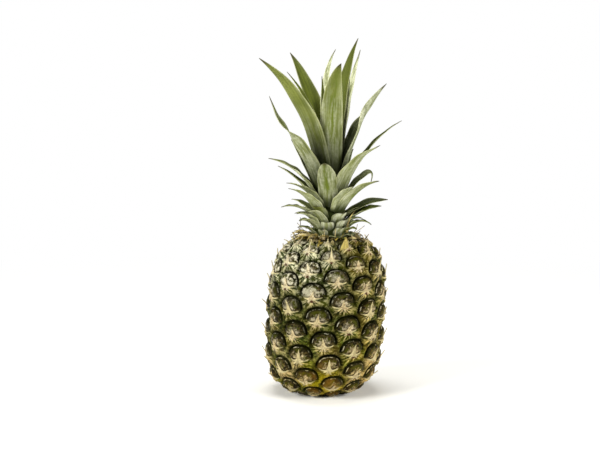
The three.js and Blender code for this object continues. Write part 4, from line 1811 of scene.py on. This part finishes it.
@dataclass(frozen=True)
class RindFinish:
    """The eyes: dark waxy domes in green skirts, with painted shadow making the gaps near-black."""

    dark: Colour = (0.003, 0.0026, 0.0)
    brown: Colour = (0.058, 0.044, 0.014)
    olive: Colour = (0.032, 0.035, 0.001)
    amber: Colour = (0.22, 0.12, 0.015)
    # pale cheeks: paler skin with a painted highlight
    pale: Colour = (0.62, 0.545, 0.38)
    # pale crust with a painted highlight on the domes' rims
    crust_and_highlight: Colour = (0.68, 0.65, 0.50)
    # gap is the painted shadow in the gaps, shade the painted shade round them
    gap: Colour = (0.0025, 0.0025, 0.0)
    shade: Colour = (0.010, 0.014, 0.0003)
    wax: Colour = (0.76, 0.72, 0.53)
    neck_shade: Colour = (0.016, 0.012, 0.003)
    neck_middle: float = 0.0087  # metres that the crown's foot stands to the right
    neck_reach: Pair = (0.036, 0.024)
    neck_height: Pair = (0.146, 0.154)
    gloss: Colour = (1.0, 0.86, 0.52)
    roughness: float = 0.36
    specular: float = 0.08
    folds: float = 3.4  # creases round the spine's foot
    highlight_arcs: float = 2.4

    def dome_colour(self, board: NodeBoard, rim: Wire, local: Wire, drawn: Wire, grain: Wire) -> Wire:
        """Colour of the domes.

        Args:
            board: The material's board.
            rim: How near the rim, 0 to 1.
            local: Place in the eye's flat map, in millimetres.
            drawn: The eye's own draw, 0 to 1.
            grain: Fine noise.

        Returns:
            Dark brown, darker towards the rim in painted shade, grey-brown on the cheeks beside the spine
            with a painted highlight, and a pale crust with a painted highlight at the rim.
        """
        x, y, _ = board.split(local)
        shift = drawn * 40.0
        blotches = board.patches(board.combine(x, y, shift), 0.34, (0.42, 0.60), detail=4.0, rough=0.65)
        colour = board.mix(blotches, self.dark, self.brown)
        green = board.patches(board.combine(x, y, shift + 9.0), 0.16, (0.46, 0.58), detail=2.0)
        colour = board.mix(green, colour, self.olive)
        # Creases run out from the spine's foot over pale cheeks: paler skin with a painted highlight on it.
        out = board.combine(x * 0.85, y - 1.4)
        away = board.length(out)
        way = board.vector("NORMALIZE", out)
        folds = board.rays(way, self.folds, board.combine(0.0, 0.0, away * 0.20 + shift))
        reach = board.noise(board.combine(x, y, shift + 21.0), 0.42, 4.0, 0.65) * 17.0 - 1.6
        cheek_and_sheen = board.rise(reach - away, -0.5, 5.0) * board.rise(grain, 0.40, 0.58, 0.6, 1.0)
        cheek_and_sheen *= board.patches(board.combine(x, y, shift + 33.0), 0.14, (0.38, 0.54), (0.42, 1.0), 2.0)
        cheek_and_sheen *= board.rise(folds, 0.40, 0.60) * 0.45 + 0.55
        colour = board.mix(cheek_and_sheen, colour, self.pale)
        # Painted shade: the dome darkens towards its rim, beside the gap.
        colour = board.mix(board.rise(rim, 0.60, 0.90, 0.0, 0.92), colour, self.dark)
        # A thin pale crust with a painted highlight on it runs along the arch in long arcs, strongest to the
        # upper left where the light falls.
        wander = rim + (grain - 0.5) * 0.16
        band = board.rise(wander, 0.86, 0.90) * board.rise(wander, 0.955, 0.915)
        side = board.rise(y * 0.4 - x, -8.0, 5.0, 0.3, 1.0)
        arcs = board.rays(way, self.highlight_arcs, board.combine(grain * 1.6, 0.0, shift + 57.0))
        return board.mix(band * side * board.rise(arcs, 0.49, 0.58) * 0.7, colour, self.crust_and_highlight)

    def neck_shade_share(self, board: NodeBoard, place: Wire) -> Wire:
        """Where the rind round the crown's foot is dark brown: partly bare rind, partly painted shade in the
        hollow under the crown.

        Args:
            board: The material's board.
            place: Place on the object.

        Returns:
            The share, 0 to 1.
        """
        x, y, z = board.split(place)
        gone = board.length(board.combine(x - self.neck_middle, y))
        return board.rise(gone, *self.neck_reach) * board.rise(z, *self.neck_height, 0.0, 0.9)

    def gap_shadow_share(self, board: NodeBoard, place: Wire, crevice: Wire) -> Wire:
        """Where a painted shadow makes a gap black: a ragged line, fainter near the foot.

        Args:
            board: The material's board.
            place: Place on the object.
            crevice: How deep in a gap, and so how much painted shade falls there, 0 to 1.

        Returns:
            The share, 0 to 1.
        """
        ragged = (board.noise(place, 260.0, 3.0, 0.6) + board.noise(place, 55.0, 2.0) - 1.0) * 0.7
        _, _, z = board.split(place)
        return board.rise(crevice + ragged, 0.70, 0.96) * board.rise(z, 0.012, 0.050, 0.55, 0.97)

    def build(self) -> Material:
        """Builds the material.

        Returns:
            The material.
        """
        material, board, shader = new_material("rind")
        dome, crevice, rim = board.colour_attribute("zones")
        place, local = board.object_place(), board.flat_place()
        grain = board.noise(place, 420.0, 4.0, 0.65)
        drawn, _ = board.uv_pair("draw")
        skirt = board.group("skirt", {"Local": local, "Draw": drawn, "Place": place})
        domed = self.dome_colour(board, rim, local, drawn, grain)
        domed = board.mix(skirt["Ripe"] * board.patches(place, 60.0, (0.40, 0.60)) * 0.32, domed, self.amber)
        # Wax clings to the domes in crumbs.
        crumbs = board.patches(place, 190.0, (0.48, 0.59), (0.0, 0.8), 6.0, 0.72)
        domed = board.mix(crumbs * skirt["Waxed"], domed, self.wax)
        colour = board.mix(dome, skirt["Colour"], domed)
        # Painted shade in the hollow under the crown, over bare brown rind.
        colour = board.mix(self.neck_shade_share(board, place), colour, self.neck_shade)
        colour = board.group("warmth", {"Colour": colour, "Place": place})["Colour"]
        # Painted shade: dark green round each gap, and a black painted shadow in it.
        colour = board.mix(crevice * 0.75, colour, self.shade)
        colour = board.mix(self.gap_shadow_share(board, place, crevice), colour, self.gap)
        rough = board.rise(grain, 0.3, 0.7, self.roughness - 0.1, self.roughness + 0.2) + (1.0 - dome) * 0.3
        ridged = board.noise(place, 620.0, 4.0) + skirt["Fibre"] * 0.5
        board.dress(shader, colour, rough, self.specular, board.relief(ridged, 0.7, 0.45))
        board.feed(shader, {"Specular Tint": self.gloss})
        return material


@dataclass(frozen=True)
class BractFinish:
    """The bracts: a tan spine whose fibres burst out below it, over the skirts' green."""

    tan: Colour = (0.66, 0.54, 0.31)
    straw: Colour = (0.58, 0.51, 0.26)
    rust: Colour = (0.22, 0.13, 0.045)
    cream: Colour = (0.84, 0.79, 0.60)
    brown: Colour = (0.060, 0.018, 0.008)
    roughness: float = 0.5
    specular: float = 0.12
    ray_number: float = 2.2
    ray_lengths: Pair = (1.5, 7.4)  # millimetres
    rib_lengths: Pair = (5.0, 8.0)
    rib_spread: Pair = (0.50, 0.80)  # sine of the ribs' angle from straight down
    spine_widths: Pair = (2.9, 4.6)

    def burst(self, board: NodeBoard, out: Wire, drawn: Wire) -> tuple[Wire, Wire]:
        """Where the tan fibres lie: rays of uneven length round the spine's foot.

        Args:
            board: The material's board.
            out: Place from the spine's foot, down it, in millimetres.
            drawn: The eye's own draw, 0 to 1.

        Returns:
            The fibres' share, 0 to 1, and the noise of single fibres.
        """
        way = board.vector("NORMALIZE", out)
        spread = board.vector("MULTIPLY", way, (self.ray_number, self.ray_number, 0.0))
        around = board.vector("ADD", spread, board.combine(0.0, 0.0, drawn * 30.0))
        length = board.rise(board.noise(around, 1.0, 2.0, 0.7), 0.44, 0.66, *self.ray_lengths)
        # Two ribs part below the spine in nearly every eye.
        sideways, downward, _ = board.split(way)
        off_rib = abs(abs(sideways) - board.rise(drawn, 0.0, 1.0, *self.rib_spread))
        ribbed = board.rise(off_rib, 0.24, 0.05) * board.rise(downward, 0.0, 0.3)
        length = board.math("MAXIMUM", length, ribbed * board.rise(drawn, 1.0, 0.0, *self.rib_lengths))
        fine = board.noise(board.vector("MULTIPLY", around, (5.0, 5.0, 1.0)), 1.0, 2.0)
        return board.rise(length + (fine - 0.5) * 2.8 - board.length(out), -0.7, 1.1), fine

    def build(self) -> Material:
        """Builds the material.

        Returns:
            The material.
        """
        material, board, shader = new_material("bract")
        place, local = board.object_place(), board.flat_place()
        drawn, other = board.uv_pair("draw")
        skirt = board.group("skirt", {"Local": local, "Draw": drawn, "Place": place})
        fibre, waxed = skirt["Fibre"], skirt["Waxed"]
        x, y, _ = board.split(local)
        grain = board.noise(place, 500.0, 3.0, 0.6)
        aside = abs(x + (grain - 0.5) * 2.4)
        down = -0.8 - y
        out = board.combine(x, down)
        star, ray = self.burst(board, out, drawn)
        broad = board.rise(other, 0.0, 1.0, *self.spine_widths)
        spine = board.rise(aside - broad, 0.6, -0.7) * board.rise(y, -2.4, -0.6)
        star = board.math("MAXIMUM", star, spine)
        # The lip is pale to both sides of the spine, thinner away from it.
        sunk = y + board.rise(aside, 12.0, 1.0, 0.3, 2.6)
        lip = board.rise(sunk, -0.3, 0.6) * board.rise(aside, 12.5, 7.0)
        lip *= board.rise(fibre, 0.0, 0.7, 0.45, 0.9)
        skin = board.group("warmth", {"Colour": skirt["Colour"], "Place": place})["Colour"]
        colour = board.mix(lip, skin, self.straw)
        # Spine and star are tan with rusty lines, waxed where the shoulder is.
        lined = grain * 0.45 + ray * 0.55
        tan = board.mix(board.rise(lined, 0.45, 0.60), self.tan, self.rust)
        tan = board.mix(board.rise(other, 0.3, 1.0) * 0.6, tan, self.straw)
        tan = board.mix(waxed * board.rise(lined, 0.6, 0.4, 0.1, 0.8), tan, self.cream)
        star *= board.rise(board.length(out), 4.0, 9.0, 1.0, 0.5)
        colour = board.mix(star * board.rise(fibre, 0.0, 0.8, 0.62, 1.0), colour, tan)
        # Some are split brown below the spine.
        split = board.rise(aside, 2.0, 0.8) * board.rise(down, 1.2, 2.4) * board.rise(down, 6.8, 4.5)
        colour = board.mix(split * board.rise(drawn, 0.35, 0.55), colour, self.brown)
        ridged = board.noise(place, 900.0, 3.0) + fibre
        board.dress(shader, colour, self.roughness, self.specular, board.relief(ridged, 0.6, 0.4))
        return material


class Face(Enum):
    """The two faces of a leaf."""

    OUTER = "outer"
    INNER = "inner"


@dataclass(frozen=True)
class LeafFinish:
    """One face of the leaves: green with fine lengthwise lines, and a silvery wax."""

    face: Face
    deep: Colour
    light: Colour
    wax: Colour
    wax_share: float
    roughness: float
    specular: float = 0.12
    lines: float = 420.0
    stripe: Colour = (0.115, 0.150, 0.016)
    margin: Colour = (0.50, 0.51, 0.27)
    dry: Colour = (0.045, 0.038, 0.016)
    base: Colour = (0.012, 0.018, 0.0005)

    def lengthwise(self, board: NodeBoard, across: Wire, along: Wire, drawn: Wire, scales: Pair) -> Wire:
        """Noise in long soft patches, drawn out along the blade."""
        return board.noise(board.combine(across * scales[0], along * scales[1], drawn), 1.0, 4.0, 0.6)

    def build(self) -> Material:
        """Builds the material.

        Returns:
            The material.
        """
        material, board, shader = new_material(f"leaf_{self.face.value}")
        u, v = board.uv_pair("strap")
        across, along = board.uv_pair("lie")
        drawn, stripe = board.uv_pair("draw")
        waxy, shade = board.uv_pair("look")
        place = board.object_place()
        strap = board.combine(across, along, drawn * 20.0)
        fibres = board.group("fibres", {"Place": strap, "Lines": self.lines})
        streaks = fibres["Streaks"]
        off = abs(u * 2.0 - 1.0)
        # Light and dark leaves, with lines in both: each leaf's own tone, and painted shade on leaves that
        # others shade.
        patched = board.noise(place, 38.0, 3.0) - 0.64
        tone = board.math("ADD", streaks * 0.34 + shade * 0.9, patched, clamp=True)
        colour = board.mix(tone, self.deep, self.light)
        # Where the bloom is rubbed off along the middle, the green shows.
        mottle = self.lengthwise(board, across, along, drawn, (90.0, 12.0))
        centre = board.rise(off, 0.74, 0.06) * board.rise(mottle, 0.34, 0.62) * stripe
        centre = centre * board.rise(v, 0.16, 0.40) * board.rise(v, 1.0, 0.72)
        colour = board.mix(centre * 0.85, colour, self.stripe)
        # Wax lies in soft lengthwise patches, thickest low on the blade and at its edges.
        patchy = board.rise(self.lengthwise(board, across, along, drawn, (60.0, 9.0)), 0.34, 0.64, 0.12, 1.0)
        patchy *= board.patches(place, 300.0, (0.36, 0.62), (0.62, 1.0))
        low = board.math("MULTIPLY", waxy * 1.5 - v, 2.0, clamp=True)
        low = board.math("ADD", low, board.rise(off, 0.5, 1.0) * 0.3, clamp=True)
        most = board.math("MAXIMUM", waxy, 1.0) * self.wax_share
        wax = low * patchy * (1.0 - centre) * most * board.rise(streaks, 0.0, 1.0, 0.6, 1.0)
        colour = board.mix(wax, colour, self.wax)
        colour = board.mix(board.rise(off, 0.84, 0.98) * 0.45, colour, self.margin)
        colour = board.mix(board.rise(v + streaks * 0.02, 0.90, 0.99) * 0.85, colour, self.dry)
        # The bases stand in each other's shade, and painted shade darkens them.
        painted_shade, _ = board.uv_pair("foot")
        colour = board.mix(painted_shade * 0.90, colour, self.base)
        board.dress(shader, colour, self.roughness, self.specular, board.relief(fibres["Lines"], 0.12, 0.1))
        return material


OUTER_FACE = LeafFinish(
    Face.OUTER,
    deep=(0.056, 0.070, 0.006),
    light=(0.26, 0.29, 0.066),
    wax=(0.63, 0.65, 0.47),
    wax_share=0.80,
    roughness=0.55,
)
INNER_FACE = LeafFinish(
    Face.INNER,
    deep=(0.020, 0.028, 0.002),
    light=(0.130, 0.155, 0.018),
    wax=(0.56, 0.58, 0.39),
    wax_share=0.42,
    roughness=0.50,
)


@dataclass(frozen=True)
class DryFinish:
    """Dried leaf bits: straw and yellow with brown streaks, darker to the tip."""

    straw: Colour = (0.68, 0.57, 0.30)
    yellow: Colour = (0.50, 0.38, 0.06)
    brown: Colour = (0.055, 0.036, 0.010)
    green: Colour = (0.17, 0.19, 0.035)
    roughness: float = 0.6
    specular: float = 0.25
    lines: float = 400.0

    def build(self) -> Material:
        """Builds the material.

        Returns:
            The material.
        """
        material, board, shader = new_material("dry_leaf")
        _, v = board.uv_pair("strap")
        across, along = board.uv_pair("lie")
        drawn, _ = board.uv_pair("draw")
        green, shade = board.uv_pair("look")
        fibres = board.group("fibres", {"Place": board.combine(across, along, drawn), "Lines": self.lines})
        colour = board.mix(board.rise(drawn, 0.3, 0.7), self.straw, self.yellow)
        colour = board.mix(board.rise(green, 0.5, 0.9) * board.rise(v, 0.95, 0.35), colour, self.green)
        # Brown in streaks, least on the palest bits, and all over the darkest, which is partly painted
        # shade.
        stain = board.noise(board.object_place(), 160.0, 3.0) + fibres["Streaks"] * 0.18
        darkness = board.rise(stain, 0.48, 0.66) * 0.85 * board.rise(shade, 0.6, 1.0, 1.0, 0.45)
        darkness = board.math("MAXIMUM", darkness, board.rise(shade, 0.35, 0.0) * 0.9)
        colour = board.mix(darkness, colour, self.brown)
        colour = board.mix(board.rise(v, 0.82, 1.0, 0.0, 0.7), colour, self.brown)
        board.dress(shader, colour, self.roughness, self.specular, board.relief(fibres["Lines"], 0.5, 0.3))
        return material


# ---- the studio ----


@dataclass(frozen=True)
class SoftLight:
    """A square soft light. Place and side in metres, power in watts."""

    name: str
    spot: tuple[float, float, float]
    size: float
    power: float
    colour: Colour


@dataclass
class Studio:
    """Camera, floor and lights."""

    target: tuple[float, float, float] = (0.0, 0.0, 0.180)
    elevation: float = 8.0
    distance: float = 1.4
    lens: float = 82.6
    shift: Pair = (-0.0355, -0.0145)
    floor_radius: float = 40.0
    floor_clear: float = 0.1
    floor_white: float = 0.9
    surround: float = 0.07  # how much the white surroundings light the fruit
    lights: tuple[SoftLight, ...] = (
        SoftLight("key", (-1.5, -0.95, 1.0), 0.9, 43.5, (1.0, 0.985, 0.93)),
        SoftLight("fill", (1.45, -0.75, 0.8), 0.9, 31.0, (1.0, 0.99, 0.95)),
        SoftLight("top", (-0.1, 0.3, 1.6), 1.0, 20.0, (1.0, 0.99, 0.95)),
    )

    def make_camera(self) -> None:
        """Stands the camera in front, a little above."""
        angle = math.radians(self.elevation)
        back = Vector((0.0, -math.cos(angle), math.sin(angle)))
        data = bpy.data.cameras.new("camera")
        data.lens = self.lens
        data.sensor_width = 36.0
        data.shift_x, data.shift_y = self.shift
        data.clip_end = 200.0
        camera = self.stand(data, Vector(self.target) + back * self.distance, -back)
        bpy.context.scene.camera = camera

    def stand(self, data: bpy.types.ID, spot: Vector, aim: Vector) -> Piece:
        """Stands a camera or a light in the scene.

        Args:
            data: The camera or light, whose name it takes.
            spot: Where it stands.
            aim: Which way it faces.

        Returns:
            The object.
        """
        stood = bpy.data.objects.new(data.name, data)
        bpy.context.scene.collection.objects.link(stood)
        stood.location = spot
        stood.rotation_euler = aim.to_track_quat("-Z", "Y").to_euler()
        return stood

    def make_floor(self) -> None:
        """Lays a wide pale floor that brightens, far from the fruit, into the white surroundings."""
        deselect_everything()
        bpy.ops.mesh.primitive_circle_add(vertices=96, radius=self.floor_radius, fill_type="NGON")
        floor = bpy.context.object
        floor.name = "floor"
        material, board, shader = new_material("floor")
        board.feed(shader, {"Base Color": (0.93, 0.93, 0.92), "Roughness": 0.7, "Specular IOR Level": 0.1})
        x, y, _ = board.split(board.object_place())
        far = board.math("SQRT", board.math("POWER", x, 2.0) + board.math("POWER", y, 2.0))
        share = board.rise(far, self.floor_clear, self.floor_white) * board.seen()
        white = board.take("ShaderNodeEmission", {"Color": WHITE, "Strength": 1.0})
        board.show(share, Wire(board, shader.outputs[0]), white, "Material Output")
        floor.data.materials.append(material)

    def make_lights(self) -> None:
        """Hangs the lights, all facing the fruit, and sets the white surroundings."""
        for light in self.lights:
            data = bpy.data.lights.new(light.name, "AREA")
            data.size = light.size
            data.energy = light.power
            data.color = light.colour
            self.stand(data, Vector(light.spot), Vector(self.target) - Vector(light.spot))
        scene = bpy.context.scene
        world = bpy.data.worlds.new("surroundings")
        scene.world = world
        world.use_nodes = True
        board = NodeBoard(world.node_tree)
        plain = world.node_tree.nodes["Background"]
        board.feed(plain, {"Color": WHITE, "Strength": self.surround})
        shown = board.take("ShaderNodeBackground", {"Color": WHITE, "Strength": 1.0})
        board.show(board.seen(), Wire(board, plain.outputs[0]), shown, "World Output")
        scene.view_settings.view_transform = "Standard"
        scene.view_settings.look = "None"

    def build(self) -> None:
        """Sets up the whole studio."""
        self.make_camera()
        self.make_floor()
        self.make_lights()


def main() -> None:
    """Builds every piece in order."""
    logging.basicConfig(level=logging.INFO, format="%(name)s: %(message)s")
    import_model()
    for shared in (FibreGroup(), WarmthGroup(), SkirtFinish()):
        shared.make_group()
    Studio().build()
    form = FruitForm()
    fruit = Fruit(form)
    rind = Rind(fruit)
    rind.build(RindFinish().build())
    Bracts(fruit, rind).build(BractFinish().build())
    faces = [OUTER_FACE.build(), INNER_FACE.build()]
    crown = Crown(axis_x=form.lean * form.seat_floor, foot=form.seat_floor + form.seat_gap)
    crown.build_foot(faces)
    crown.build_leaves(faces)
    Collar(crown).build(DryFinish().build())


if __name__ == "__main__":
    main()
